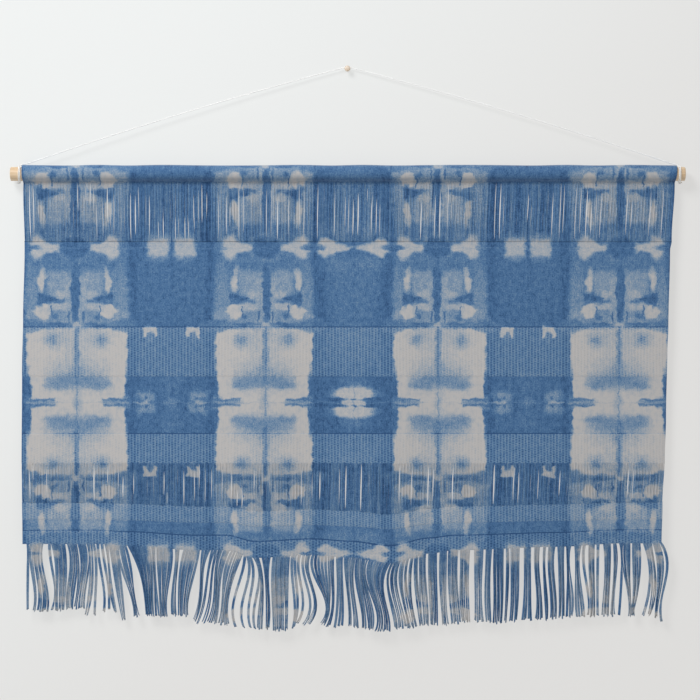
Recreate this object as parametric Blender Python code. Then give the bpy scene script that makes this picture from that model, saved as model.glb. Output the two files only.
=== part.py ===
"""A shibori dyed wall cloth on a wooden rod, with its warp fringe, hanging cord and wall peg.

The frame: X runs to the right, Z up, and the cloth's face looks along -Y. The wall is the plane
Y = 0, and the origin is the centre of the peg's flat back face, where it meets the wall.
"""

import math
from collections import namedtuple

import bmesh
import bpy
import numpy as np

MM = 0.001

# The least gap between two pieces that touch on the real object
TOUCH_GAP = 0.3 * MM

# Wooden rod, lying along X
ROD_RADIUS = 12.7 * MM
ROD_LEFT = -613.5 * MM
ROD_RIGHT = 615.0 * MM
ROD_CHAMFER = 1.2 * MM
ROD_AXIS_Y = -16.2 * MM
ROD_AXIS_Z = -193.1 * MM
ROD_SIDES = 32

# Wooden wall peg, turned about Y: how far each ring stands from the wall, and its radius
PegRing = namedtuple("PegRing", "out_mm radius_mm")
PEG_RINGS = (
    PegRing(0.0, 4.2),
    PegRing(1.4, 4.2),
    PegRing(2.4, 2.7),
    PegRing(7.6, 2.7),
    PegRing(8.6, 4.6),
    PegRing(9.6, 5.3),
    PegRing(10.8, 5.2),
    PegRing(11.8, 4.2),
    PegRing(12.4, 2.4),
)
PEG_SIDES = 20
PEG_NECK_RADIUS = 2.7 * MM
PEG_NECK_Y = -5.0 * MM

# Hanging cord
CORD_DIAMETER = 1.8 * MM
CORD_STEP_AT_ROD = 4.6 * MM
CORD_STEP_IN_RUN = 70.0 * MM
CORD_BOW = 6.0 * MM
KNOT_RADIUS = 2.6 * MM
KNOT_FLAT_SHARE = 0.25

# Sleeve: the cloth's top, sewn shut round the rod
SLEEVE_INNER_RADIUS = 13.3 * MM
SLEEVE_OUTER_RADIUS = 14.9 * MM
SLEEVE_STEPS = 16
SLEEVE_COLUMNS = 12
SLEEVE_SEAM_Z = ROD_AXIS_Z - 14.1 * MM
SLEEVE_SEAM_THICKNESS = 1.9 * MM
SLEEVE_LEFT_BULGE = 2.6 * MM
SLEEVE_RIGHT_BULGE = 4.4 * MM

# The cloth below the sleeve, band by band; sag is the share of the hem's sag at the band's foot
Band = namedtuple("Band", "name height_mm rows thickness_mm foot_sag")
BANDS = (
    Band("open_upper", 106.3, 6, 1.5, 0.0),
    Band("plain_upper", 156.8, 4, 1.5, 0.0),
    Band("textured_upper", 90.2, 3, 2.1, 0.0),
    Band("plain_middle", 103.9, 3, 1.5, 0.0),
    Band("textured_middle", 54.9, 2, 2.1, 0.0),
    Band("open_lower", 70.0, 5, 1.5, 0.6),
    Band("textured_lower", 31.9, 2, 2.1, 0.5),
    Band("plain_lower", 19.5, 1, 1.6, 0.8),
    Band("hem", 19.2, 1, 2.1, 1.0),
)
CLOTH_TOP_Z = -209.1 * MM
BAND_COLUMNS = 48
COLUMN_CLEARANCE = 5.0 * MM
OPEN_BAND_BORDER = 2.0 * MM
SHARE_TOLERANCE = 1e-6

# The cloth's two side edges: height and X
Edge = namedtuple("Edge", "z_mm x_mm")
LEFT_EDGE = (
    Edge(-868, -591.4),
    Edge(-716, -593.4),
    Edge(-554, -592.7),
    Edge(-456, -590.6),
    Edge(-334, -587.7),
    Edge(-209, -590.6),
)
RIGHT_EDGE = (
    Edge(-868, 571.7),
    Edge(-798, 573.5),
    Edge(-718, 577.7),
    Edge(-636, 580.4),
    Edge(-514, 582.6),
    Edge(-472, 584.5),
    Edge(-334, 587.4),
    Edge(-314, 590.7),
    Edge(-209, 596.5),
)

# How far the hem sags below its ends, in two slack lobes
Sag = namedtuple("Sag", "x_mm drop_mm")
HEM_SAG = (
    Sag(-451, 0.0),
    Sag(-405, 3.1),
    Sag(-269, 11.5),
    Sag(-221, 11.5),
    Sag(-168, 25.0),
    Sag(-65, 19.9),
    Sag(5, 25.0),
    Sag(76, 34.6),
    Sag(151, 17.7),
    Sag(196, 11.5),
    Sag(380, 5.1),
    Sag(506, -1.1),
)

# Soft folds at the hem, from the way the cloth was pleated for dyeing, and the slack lobes;
# a positive swell comes forward. They fade towards the sleeve.
Fold = namedtuple("Fold", "x_mm swell_mm")
UPRIGHT_FOLDS = (
    Fold(-593, 2.0),
    Fold(-491, -1.5),
    Fold(-320, 2.0),
    Fold(-240, -1.0),
    Fold(-155, 4.5),
    Fold(-40, -1.5),
    Fold(76, 5.5),
    Fold(166, -1.5),
    Fold(329, 2.0),
    Fold(489, -1.5),
    Fold(575, 1.5),
)
Crease = namedtuple("Crease", "z_mm swell_mm")
LEVEL_CREASES = (
    Crease(-868, 1.0),
    Crease(-610, -1.4),
    Crease(-470, 0.0),
    Crease(-328, 1.4),
    Crease(-209, 0.0),
)

# The widest gaps between warp ends in the two open bands: middle, width, and the band's rows
# between which each is open
Slit = namedtuple("Slit", "x_mm width_mm first_row last_row")
SLIT_ROUNDING = 0.6
UPPER_SLITS = (
    Slit(-571.9, 3.2, 0, 5),
    Slit(-491.1, 3.2, 1, 6),
    Slit(-469.2, 3.2, 1, 6),
    Slit(-438.3, 3.6, 1, 5),
    Slit(-424.8, 3.2, 1, 6),
    Slit(-412.0, 3.2, 1, 6),
    Slit(-394.9, 4.4, 1, 6),
    Slit(-387.2, 4.2, 1, 6),
    Slit(-360.8, 4.4, 0, 6),
    Slit(-344.4, 3.2, 1, 6),
    Slit(-312.5, 3.2, 1, 6),
    Slit(-295.1, 3.2, 1, 5),
    Slit(-264.3, 4.4, 0, 6),
    Slit(-220.0, 4.4, 1, 6),
    Slit(-197.8, 3.2, 1, 6),
    Slit(-139.6, 3.4, 1, 6),
    Slit(-127.8, 4.4, 0, 6),
    Slit(-88.2, 3.2, 1, 5),
    Slit(-54.5, 4.2, 0, 6),
    Slit(3.5, 3.2, 1, 5),
    Slit(11.7, 4.2, 1, 6),
    Slit(19.0, 4.4, 1, 6),
    Slit(48.5, 4.2, 2, 6),
    Slit(135.1, 3.4, 2, 6),
    Slit(168.4, 3.6, 1, 6),
    Slit(270.0, 3.8, 0, 6),
    Slit(277.0, 4.4, 0, 6),
    Slit(330.1, 3.4, 2, 5),
    Slit(374.6, 3.4, 1, 6),
    Slit(394.9, 3.8, 0, 5),
    Slit(416.6, 3.6, 0, 6),
    Slit(434.6, 4.6, 0, 6),
    Slit(443.4, 3.4, 2, 5),
    Slit(508.6, 4.0, 0, 6),
    Slit(516.6, 4.0, 2, 6),
    Slit(574.4, 3.4, 1, 6),
)
LOWER_SLITS = (
    Slit(-577.7, 3.4, 1, 5),
    Slit(-461.0, 4.4, 0, 5),
    Slit(-437.3, 3.2, 0, 3),
    Slit(-410.0, 3.4, 1, 4),
    Slit(-333.8, 3.2, 1, 4),
    Slit(-297.1, 4.4, 0, 5),
    Slit(-269.4, 3.2, 0, 3),
    Slit(-191.0, 4.2, 1, 5),
    Slit(-166.6, 3.2, 0, 3),
    Slit(-50.9, 3.4, 1, 4),
    Slit(-3.6, 4.2, 0, 5),
    Slit(24.8, 4.6, 0, 5),
    Slit(94.1, 3.4, 0, 4),
    Slit(146.0, 4.2, 0, 5),
    Slit(191.6, 4.2, 0, 5),
    Slit(266.9, 4.6, 0, 5),
    Slit(311.6, 3.4, 1, 5),
    Slit(385.4, 3.4, 1, 4),
    Slit(515.2, 3.6, 0, 5),
)

# Fringe: a narrow strip of the hem, and the warp ends that hang from it in bunches
STRIP_HEIGHT = 6.0 * MM
STRIP_THICKNESS = 2.1 * MM
STRAND_WIDTH = 3.2 * MM
STRAND_TIP_SHARE = 0.75
STRAND_STEPS = 5
STRAND_LAYER_SHIFT = 1.4 * MM
STRAND_LAYERED_AT = 0.4
STRAND_LEAST_PITCH = 3.5 * MM
STRAND_RAGGED = 3.0 * MM
STRAND_RAGGED_TURN = 2.4
Bunch = namedtuple("Bunch", "strands root_from root_to tip_from tip_to bulge tip_z")
BUNCHES_MM = (
    Bunch(1, -581.7, -581.7, -581.7, -581.7, 0, -986),
    Bunch(4, -575.2, -553.1, -571.9, -544.0, 0, -990),
    Bunch(6, -546.7, -514.8, -538.5, -507.5, 0, -990),
    Bunch(6, -508.4, -473.8, -502.1, -482.0, 1, -986),
    Bunch(1, -467.4, -467.4, -475.6, -475.6, 6, -997),
    Bunch(1, -461.0, -461.0, -460.3, -460.3, 4, -995),
    Bunch(1, -454.7, -454.7, -444.3, -444.3, 0, -995),
    Bunch(3, -448.3, -435.5, -441.0, -432.8, 0, -995),
    Bunch(1, -430.0, -430.0, -424.0, -424.0, 0, -993),
    Bunch(2, -423.7, -417.3, -411.8, -403.6, 2, -1006),
    Bunch(2, -410.9, -404.5, -391.8, -381.7, 3, -999),
    Bunch(6, -397.2, -363.5, -367.9, -356.2, 0, -999),
    Bunch(7, -356.9, -317.9, -352.6, -325.2, 0, -999),
    Bunch(2, -311.4, -305.2, -319.8, -312.5, 0, -997),
    Bunch(5, -297.9, -271.4, -307.0, -290.6, 0, -997),
    Bunch(3, -264.2, -251.4, -280.6, -270.9, 0, -1008),
    Bunch(2, -245.0, -238.6, -264.0, -257.8, -4, -1010),
    Bunch(3, -232.3, -219.5, -252.3, -239.5, -2, -1010),
    Bunch(3, -213.1, -200.3, -234.1, -217.7, 0, -1012),
    Bunch(6, -194.0, -162.1, -203.1, -157.5, -4, -1017),
    Bunch(3, -155.7, -142.9, -149.3, -141.6, 0, -1020),
    Bunch(5, -135.6, -108.3, -135.6, -109.6, 0, -1022),
    Bunch(5, -101.0, -71.8, -101.0, -71.8, 5, -1016),
    Bunch(5, -63.4, -36.3, -49.0, -29.9, 0, -1014),
    Bunch(1, -29.0, -29.0, -23.5, -23.5, 0, -1017),
    Bunch(2, -21.7, -15.3, -17.1, -9.8, 0, -1015),
    Bunch(2, -7.1, 1.1, -2.6, 4.7, 0, -1015),
    Bunch(4, 9.3, 29.4, 12.9, 33.9, 0, -1021),
    Bunch(7, 36.1, 73.1, 43.9, 76.7, 0, -1024),
    Bunch(7, 79.5, 121.4, 88.6, 125.1, -6, -1021),
    Bunch(9, 128.7, 187.0, 130.5, 187.0, 0, -1015),
    Bunch(5, 194.3, 220.8, 193.4, 219.9, 0, -1015),
    Bunch(2, 232.6, 239.9, 232.6, 239.9, 0, -1014),
    Bunch(3, 246.5, 258.1, 246.5, 258.1, 0, -1014),
    Bunch(3, 267.3, 280.9, 267.3, 280.9, 0, -1012),
    Bunch(4, 289.1, 311.0, 289.1, 311.0, 0, -1010),
    Bunch(3, 321.9, 334.7, 321.9, 334.7, 0, -1008),
    Bunch(8, 342.0, 388.5, 342.0, 388.5, 0, -1006),
    Bunch(8, 394.9, 442.3, 394.9, 442.3, 0, -1002),
    Bunch(8, 448.6, 493.3, 448.6, 493.3, 0, -999),
    Bunch(3, 499.7, 513.4, 510.6, 515.2, 0, -998),
    Bunch(3, 519.7, 533.4, 518.8, 524.3, 0, -998),
    Bunch(1, 543.4, 543.4, 540.7, 540.7, 8, -1001),
    Bunch(3, 550.7, 562.6, 551.6, 562.6, 0, -1002),
    Bunch(1, 568.0, 568.0, 572.6, 572.6, 10, -1007),
)

# Finishes: colour, roughness
Finish = namedtuple("Finish", "colour roughness")
INDIGO_COTTON = Finish((0.10, 0.19, 0.38), 0.92)
FRINGE_COTTON = Finish((0.12, 0.22, 0.40), 0.92)
PALE_PINE = Finish((0.76, 0.56, 0.33), 0.55)
PEG_WOOD = Finish((0.60, 0.42, 0.24), 0.5)
CORD_COTTON = Finish((0.80, 0.78, 0.72), 0.9)


def clear_scene():
    """Removes every object of the starting scene."""
    for obj in list(bpy.data.objects):
        bpy.data.objects.remove(obj)


def make_material(name, finish):
    """A plain material of the given finish."""
    material = bpy.data.materials.new(name)
    material.use_nodes = True
    shader = material.node_tree.nodes["Principled BSDF"]
    shader.inputs["Base Color"].default_value = (*finish.colour, 1.0)
    shader.inputs["Roughness"].default_value = finish.roughness
    shader.inputs["Metallic"].default_value = 0.0
    return material


def add_object(name, data, finish):
    """Puts a mesh or a curve in the scene as one object with its own material."""
    obj = bpy.data.objects.new(name, data)
    data.materials.append(make_material(name, finish))
    bpy.context.scene.collection.objects.link(obj)
    return obj


def add_mesh_object(name, points, faces, finish, smooth_angle=None):
    """Makes one closed mesh object whose faces point outwards."""
    mesh = bpy.data.meshes.new(name)
    mesh.from_pydata([tuple(p) for p in points], [], faces)
    shape = bmesh.new()
    shape.from_mesh(mesh)
    bmesh.ops.recalc_face_normals(shape, faces=shape.faces[:])
    shape.to_mesh(mesh)
    shape.free()
    if smooth_angle is not None:
        mesh.shade_smooth()
        mesh.set_sharp_from_angle(angle=smooth_angle)
    return add_object(name, mesh, finish)


def eased(at, rows, unit=MM):
    """Reads a short two-column table at one place, with a soft step from each row to the next."""
    places = [row[0] * unit for row in rows]
    values = [row[1] * unit for row in rows]
    if at <= places[0]:
        return values[0]
    for k in range(len(rows) - 1):
        if at <= places[k + 1]:
            share = (at - places[k]) / (places[k + 1] - places[k])
            share = share * share * (3.0 - 2.0 * share)
            return values[k] + (values[k + 1] - values[k]) * share
    return values[-1]


# The foot of each band when nothing sags, and its share of the hem's sag
BAND_LEVELS = [CLOTH_TOP_Z]
for band in BANDS:
    BAND_LEVELS.append(BAND_LEVELS[-1] - band.height_mm * MM)
BAND_SAGS = [0.0] + [band.foot_sag for band in BANDS]
CLOTH_FOOT_LEVEL = BAND_LEVELS[-1]


def sag_share(level):
    """The share of the hem's sag at a level of the unsagged cloth."""
    return float(np.interp(-level, [-z for z in BAND_LEVELS], BAND_SAGS))


def cloth_point(share, level):
    """A point of the hanging cloth's middle surface.

    share runs from 0 at the left edge to 1 at the right one, and level is the height that the
    point would have if the cloth didn't sag.
    """
    left = eased(level, LEFT_EDGE)
    right = eased(level, RIGHT_EDGE)
    x = left + share * (right - left)
    down = (CLOTH_TOP_Z - level) / (CLOTH_TOP_Z - CLOTH_FOOT_LEVEL)
    swell = min(down, 1.0) * eased(x, UPRIGHT_FOLDS) + eased(level, LEVEL_CREASES)
    return np.array([x, ROD_AXIS_Y - swell, level - sag_share(level) * eased(x, HEM_SAG)])


def share_at(x, level):
    """The share of the cloth's width at which a place lies."""
    left = eased(level, LEFT_EDGE)
    right = eased(level, RIGHT_EDGE)
    return (x - left) / (right - left)


def even_shares(columns):
    """Evenly spaced shares of the width, both edges included."""
    return [k / columns for k in range(columns + 1)]


def steps_along(high, low):
    """Walks along two rows of (share, item) together, and gives each step's items on both.

    A row whose next item comes later stands still for that step.
    """
    i = j = 0
    while i < len(high) - 1 or j < len(low) - 1:
        high_next = high[i + 1][0] if i < len(high) - 1 else math.inf
        low_next = low[j + 1][0] if j < len(low) - 1 else math.inf
        next_i = i + (high_next <= low_next + SHARE_TOLERANCE)
        next_j = j + (low_next <= high_next + SHARE_TOLERANCE)
        yield (high[i][1], high[next_i][1]), (low[j][1], low[next_j][1])
        i, j = next_i, next_j


class SheetMesh:
    """Points and faces of a sheet that has a front, a back and walls round its edges and slits."""

    def __init__(self):
        self.points = []
        self.faces = []

    def pair(self, middle, thickness):
        """Adds a front point and the back point behind it, and gives their two numbers."""
        half = np.array([0.0, thickness / 2.0, 0.0])
        self.points += [middle - half, middle + half]
        return len(self.points) - 2, len(self.points) - 1

    def row(self, shares, level, thickness):
        """Adds a row of pairs across the cloth, as a list of (share, pair)."""
        return [(s, self.pair(cloth_point(s, level), thickness)) for s in shares]

    def face(self, *corners):
        """Adds a face, leaving out a corner that repeats the one before it."""
        kept = [c for k, c in enumerate(corners) if c != corners[k - 1]]
        if len(kept) >= 3:
            self.faces.append(kept)

    def panel(self, low_left, low_right, high_right, high_left):
        """Adds the front face between four pairs, and the back face behind it."""
        corners = (low_left, low_right, high_right, high_left)
        self.face(*[pair[0] for pair in corners])
        self.face(*[pair[1] for pair in reversed(corners)])

    def wall(self, low, high):
        """Adds the narrow face that joins front and back between two pairs."""
        self.face(low[0], low[1], high[1], high[0])

    def join_rows(self, high, low):
        """Fills the stretch between two rows that may have different columns, edges included."""
        for (high_here, high_next), (low_here, low_next) in steps_along(high, low):
            self.panel(low_here, low_next, high_next, high_here)
        self.wall(low[0][1], high[0][1])
        self.wall(high[-1][1], low[-1][1])


def levels_of(band_index, steps):
    """The levels of a band's rows, from its top to its foot."""
    top, foot = BAND_LEVELS[band_index], BAND_LEVELS[band_index + 1]
    return [top + (foot - top) * k / steps for k in range(steps + 1)]


def open_columns(slits, level):
    """The columns of an open band, left to right: a slit, or None for a plain column, and its share."""
    slit_shares = [(share_at(slit.x_mm * MM, level), slit) for slit in slits]
    width = eased(level, RIGHT_EDGE) - eased(level, LEFT_EDGE)
    clearance = COLUMN_CLEARANCE / width
    plain = [
        (share, None)
        for share in even_shares(BAND_COLUMNS // 2)
        if all(abs(share - near) > clearance for near, _ in slit_shares)
    ]
    return sorted(plain + slit_shares, key=lambda column: column[0])


def slit_half_width(slit, row):
    """Half a slit's width at a row of its band: a lens that closes at its first and last rows."""
    if not slit.first_row < row < slit.last_row:
        return 0.0
    along = (row - slit.first_row) / (slit.last_row - slit.first_row)
    return slit.width_mm * MM / 2.0 * math.sin(math.pi * along) ** SLIT_ROUNDING


def build_open_band(sheet, band_index, slits):
    """Builds a band of bare warp ends, cut through at its slits, and gives its top and foot rows."""
    band = BANDS[band_index]
    levels = levels_of(band_index, band.rows)
    levels[0] -= OPEN_BAND_BORDER
    columns = open_columns(slits, sum(levels) / len(levels))
    thickness = band.thickness_mm * MM
    rows = []
    for r, level in enumerate(levels):
        row = []
        for share, slit in columns:
            middle = cloth_point(share, level)
            half = slit_half_width(slit, r) if slit else 0.0
            if half:
                aside = np.array([half, 0.0, 0.0])
                left = sheet.pair(middle - aside, thickness)
                right = sheet.pair(middle + aside, thickness)
            else:
                left = right = sheet.pair(middle, thickness)
            row.append((share, left, right))
        rows.append(row)
    for high, low in zip(rows, rows[1:]):
        for k in range(len(columns) - 1):
            sheet.panel(low[k][2], low[k + 1][1], high[k + 1][1], high[k][2])
        for (_, high_left, high_right), (_, low_left, low_right) in zip(high, low):
            if high_left != high_right or low_left != low_right:
                sheet.wall(high_left, low_left)
                sheet.wall(low_right, high_right)
        sheet.wall(low[0][1], high[0][1])
        sheet.wall(high[-1][1], low[-1][1])
    top = [(share, left) for share, left, _ in rows[0]]
    foot = [(share, left) for share, left, _ in rows[-1]]
    return top, foot


def build_sleeve(sheet):
    """Builds the ring of cloth round the rod, and gives the seam row at its foot."""
    shares = even_shares(SLEEVE_COLUMNS)
    left = eased(CLOTH_TOP_Z, LEFT_EDGE)
    right = eased(CLOTH_TOP_Z, RIGHT_EDGE)

    def ring_point(share, turn, radius):
        """A point at a share of the width and of the turn from the foot, by way of the front."""
        angle = 2.0 * math.pi * turn
        swell = math.sin(math.pi * turn)
        start = left - SLEEVE_LEFT_BULGE * swell
        end = right + SLEEVE_RIGHT_BULGE * swell
        y = ROD_AXIS_Y - radius * math.sin(angle)
        return np.array([start + share * (end - start), y, ROD_AXIS_Z - radius * math.cos(angle)])

    seam, inner, outer = [], [], []
    for share in shares:
        foot = np.array([left + share * (right - left), ROD_AXIS_Y, SLEEVE_SEAM_Z])
        seam.append((share, sheet.pair(foot, SLEEVE_SEAM_THICKNESS)))
        first = len(sheet.points)
        sheet.points += [
            ring_point(share, k / SLEEVE_STEPS, SLEEVE_INNER_RADIUS) for k in range(SLEEVE_STEPS)
        ]
        inner.append([first + k % SLEEVE_STEPS for k in range(SLEEVE_STEPS + 1)])
        first = len(sheet.points)
        sheet.points += [
            ring_point(share, k / SLEEVE_STEPS, SLEEVE_OUTER_RADIUS)
            for k in range(1, SLEEVE_STEPS)
        ]
        front, back = seam[-1][1]
        outer.append([front, *range(first, first + SLEEVE_STEPS - 1), back])
    for c in range(SLEEVE_COLUMNS):
        for k in range(SLEEVE_STEPS):
            sheet.face(outer[c][k], outer[c + 1][k], outer[c + 1][k + 1], outer[c][k + 1])
            sheet.face(inner[c][k], inner[c][k + 1], inner[c + 1][k + 1], inner[c + 1][k])
    for c in (0, SLEEVE_COLUMNS):
        for k in range(SLEEVE_STEPS):
            sheet.face(outer[c][k], outer[c][k + 1], inner[c][k + 1], inner[c][k])
        sheet.face(outer[c][0], outer[c][-1], inner[c][0])
    return seam


def build_cloth():
    """Builds the cloth in one piece: the sleeve, and below it the woven bands."""
    sheet = SheetMesh()
    above = build_sleeve(sheet)
    slits_of = {"open_upper": UPPER_SLITS, "open_lower": LOWER_SLITS}
    for index, band in enumerate(BANDS):
        if band.name in slits_of:
            top, foot = build_open_band(sheet, index, slits_of[band.name])
            sheet.join_rows(above, top)
            above = foot
            continue
        for r, level in enumerate(levels_of(index, band.rows)[1:], start=1):
            foot_of_band = r == band.rows
            thickness = band.thickness_mm
            if foot_of_band and index + 1 < len(BANDS):
                thickness = (thickness + BANDS[index + 1].thickness_mm) / 2.0
            below = sheet.row(even_shares(BAND_COLUMNS), level, thickness * MM)
            sheet.join_rows(above, below)
            above = below
    for (_, left), (_, right) in zip(above, above[1:]):
        sheet.face(left[0], left[1], right[1], right[0])
    return add_mesh_object("cloth", sheet.points, sheet.faces, INDIGO_COTTON)


def strand_lines():
    """The middle line of every strand, as X at each step from root to tip, and each tip's height."""
    lines, tips = [], []
    for bunch in BUNCHES_MM:
        for k in range(bunch.strands):
            place = k / (bunch.strands - 1) if bunch.strands > 1 else 0.0
            root = bunch.root_from + place * (bunch.root_to - bunch.root_from)
            tip = bunch.tip_from + place * (bunch.tip_to - bunch.tip_from)
            along = np.linspace(0.0, 1.0, STRAND_STEPS + 1)
            line = root + (tip - root) * along + bunch.bulge * np.sin(math.pi * along)
            lines.append(line * MM)
            tips.append(bunch.tip_z * MM + STRAND_RAGGED * math.sin(STRAND_RAGGED_TURN * len(tips)))
    for k in range(2, len(lines)):
        lines[k] = np.maximum(lines[k], lines[k - 2] + STRAND_LEAST_PITCH)
    return lines, tips


def add_strand(sheet, line, root, tip, side):
    """Adds one three-sided strand, open at its root, and gives its first point's number.

    side is -1 for a strand of the front layer and +1 for one of the back layer; the strand's
    broad side looks that way. The root's points are the broad side's left and right, then the
    narrow side's middle.
    """
    first = len(sheet.points)
    half = STRIP_THICKNESS / 2.0
    for step in range(STRAND_STEPS + 1):
        down = step / STRAND_STEPS
        middle = root[1] + side * STRAND_LAYER_SHIFT * min(1.0, down / STRAND_LAYERED_AT)
        flare = STRAND_WIDTH / 2.0 * (1.0 + (STRAND_TIP_SHARE - 1.0) * down)
        z = root[2] + (tip - root[2]) * down
        sheet.points += [
            np.array([line[step] - flare, middle + side * half, z]),
            np.array([line[step] + flare, middle + side * half, z]),
            np.array([line[step], middle - side * half, z]),
        ]
    for ring in range(first, first + 3 * STRAND_STEPS, 3):
        for s in range(3):
            t = (s + 1) % 3
            sheet.face(ring + s, ring + t, ring + 3 + t, ring + 3 + s)
    last = first + 3 * STRAND_STEPS
    sheet.face(last, last + 1, last + 2)
    return first


def build_fringe():
    """Builds the strip below the hem with the strands fused to it, in a front and a back layer."""
    sheet = SheetMesh()
    left = eased(CLOTH_FOOT_LEVEL, LEFT_EDGE)
    right = eased(CLOTH_FOOT_LEVEL, RIGHT_EDGE)
    gap = np.array([0.0, 0.0, TOUCH_GAP])
    drop = np.array([0.0, 0.0, STRIP_HEIGHT])

    def strip_foot(x):
        """The middle of the strip's foot below a place of the hem."""
        return cloth_point((x - left) / (right - left), CLOTH_FOOT_LEVEL) - drop

    top = [
        (share, sheet.pair(cloth_point(share, CLOTH_FOOT_LEVEL) - gap, STRIP_THICKNESS))
        for share in even_shares(BAND_COLUMNS)
    ]
    start = sheet.pair(strip_foot(left), STRIP_THICKNESS)
    front_edge, back_edge = [(0.0, start[0])], [(0.0, start[1])]
    before = start
    flare = STRAND_WIDTH / 2.0 / (right - left)
    for k, (line, tip) in enumerate(zip(*strand_lines())):
        side = -1.0 if k % 2 == 0 else 1.0
        first = add_strand(sheet, line, strip_foot(line[0]), tip, side)
        share = (line[0] - left) / (right - left)
        broad, narrow = (front_edge, back_edge) if side < 0.0 else (back_edge, front_edge)
        broad += [(share - flare, first), (share + flare, first + 1)]
        narrow.append((share, first + 2))
        if side < 0.0:
            left_pair, right_pair = (first, first + 2), (first + 1, first + 2)
        else:
            left_pair, right_pair = (first + 2, first), (first + 2, first + 1)
        sheet.face(*before, left_pair[1], left_pair[0])
        before = right_pair
    end = sheet.pair(strip_foot(right), STRIP_THICKNESS)
    sheet.face(*before, end[1], end[0])
    for side, edge in enumerate((front_edge, back_edge)):
        high = [(share, pair[side]) for share, pair in top]
        low = edge + [(1.0, end[side])]
        for (high_here, high_next), (low_here, low_next) in steps_along(high, low):
            sheet.face(low_here, low_next, high_next, high_here)
    for (_, here), (_, there) in zip(top, top[1:]):
        sheet.face(here[0], there[0], there[1], here[1])
    sheet.wall(start, top[0][1])
    sheet.wall(top[-1][1], end)
    return add_mesh_object("fringe", sheet.points, sheet.faces, FRINGE_COTTON)


def turned(name, rings, sides, place, finish, smooth_angle):
    """A solid of round rings (distance along, radius), closed flat at both ends.

    place turns (distance along, across, across) into a point of the frame.
    """
    points, faces = [], []
    for along, radius in rings:
        for k in range(sides):
            angle = 2.0 * math.pi * k / sides
            points.append(place(along, radius * math.cos(angle), radius * math.sin(angle)))
    for r in range(len(rings) - 1):
        for k in range(sides):
            a, b = r * sides, (r + 1) * sides
            n = (k + 1) % sides
            faces.append([a + k, a + n, b + n, b + k])
    faces.append(list(range(sides)))
    faces.append([(len(rings) - 1) * sides + k for k in range(sides)])
    return add_mesh_object(name, points, faces, finish, smooth_angle)


def build_rod():
    """Builds the wooden rod with its small end chamfers."""
    inner = ROD_RADIUS - ROD_CHAMFER
    rings = (
        (ROD_LEFT, inner),
        (ROD_LEFT + ROD_CHAMFER, ROD_RADIUS),
        (ROD_RIGHT - ROD_CHAMFER, ROD_RADIUS),
        (ROD_RIGHT, inner),
    )

    def place(along, y, z):
        return (along, ROD_AXIS_Y + y, ROD_AXIS_Z + z)

    return turned("rod", rings, ROD_SIDES, place, PALE_PINE, math.radians(30))


def build_peg():
    """Builds the turned peg, with its flat back on the wall."""
    rings = [(ring.out_mm * MM, ring.radius_mm * MM) for ring in PEG_RINGS]

    def place(along, x, z):
        return (x, -along, z)

    return turned("wall_peg", rings, PEG_SIDES, place, PEG_WOOD, math.radians(40))


# The cord at one end of the rod, from over the sleeve to its tail: distance out from the
# sleeve's edge, angle round the rod from its top by way of the front, distance from the axis
Wrap = namedtuple("Wrap", "out_mm angle radius_mm")
CORD_WRAP = (
    Wrap(-14.0, -9, 20.9),
    Wrap(-4.5, -6, 18.1),
    Wrap(-0.2, 0, 16.9),
    Wrap(1.5, 14, 15.8),
    Wrap(2.0, 40, 14.5),
    Wrap(2.1, 75, 14.2),
    Wrap(2.2, 110, 14.2),
    Wrap(2.4, 145, 14.2),
    Wrap(2.6, 180, 14.2),
    Wrap(2.9, 220, 14.2),
    Wrap(3.3, 260, 14.2),
    Wrap(3.8, 300, 14.2),
    Wrap(4.2, 340, 14.2),
    Wrap(4.4, 380, 14.2),
    Wrap(4.5, 420, 14.2),
    Wrap(4.6, 460, 14.2),
    Wrap(4.9, 500, 14.3),
    Wrap(5.6, 530, 14.9),
    Wrap(6.4, 555, 15.9),
)
LEFT_SLEEVE_EDGE = -593.2 * MM
RIGHT_SLEEVE_EDGE = 600.9 * MM


def wrap_point(row, edge, side):
    """A point of the cord near the rod, for the left (-1) or the right (+1) end."""
    angle = math.radians(row.angle)
    x = edge + side * row.out_mm * MM
    y = ROD_AXIS_Y - row.radius_mm * MM * math.sin(angle)
    return np.array([x, y, ROD_AXIS_Z + row.radius_mm * MM * math.cos(angle)])


def smooth_through(points, step):
    """Reads a smooth curve through the given points, a step apart (Catmull-Rom)."""
    points = [2 * points[0] - points[1], *points, 2 * points[-1] - points[-2]]
    out = []
    for k in range(1, len(points) - 2):
        before, here, there, after = points[k - 1 : k + 3]
        pieces = max(1, round(float(np.linalg.norm(there - here)) / step))
        for n in range(pieces):
            t = n / pieces
            out.append(
                0.5
                * (
                    2 * here
                    + (there - before) * t
                    + (2 * before - 5 * here + 4 * there - after) * t * t
                    + (3 * here - before - 3 * there + after) * t**3
                )
            )
    return out + [points[-2]]


def cord_route():
    """The cord's middle line, from its left tail over the peg to its right tail."""
    over_peg = PEG_NECK_RADIUS + TOUCH_GAP + CORD_DIAMETER / 2.0
    crown = np.array([0.0, PEG_NECK_Y, over_peg])
    sides = []
    for edge, side in ((LEFT_SLEEVE_EDGE, -1.0), (RIGHT_SLEEVE_EDGE, 1.0)):
        wraps = [wrap_point(row, edge, side) for row in CORD_WRAP]
        lean = math.atan2(crown[2] - wraps[0][2], abs(wraps[0][0]))
        rest = np.array([side * over_peg * math.sin(lean), PEG_NECK_Y, over_peg * math.cos(lean)])
        run = []
        pieces = round(float(np.linalg.norm(wraps[0] - rest)) / CORD_STEP_IN_RUN)
        for k in range(pieces):
            t = k / pieces
            bow = CORD_BOW * 4.0 * t * (1.0 - t)
            run.append(rest + (wraps[0] - rest) * t + np.array([0.0, 0.0, bow]))
        at_rod = smooth_through(wraps, CORD_STEP_AT_ROD)
        sides.append(run + at_rod)
    left, right = sides
    return left[::-1] + [crown] + right


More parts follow.
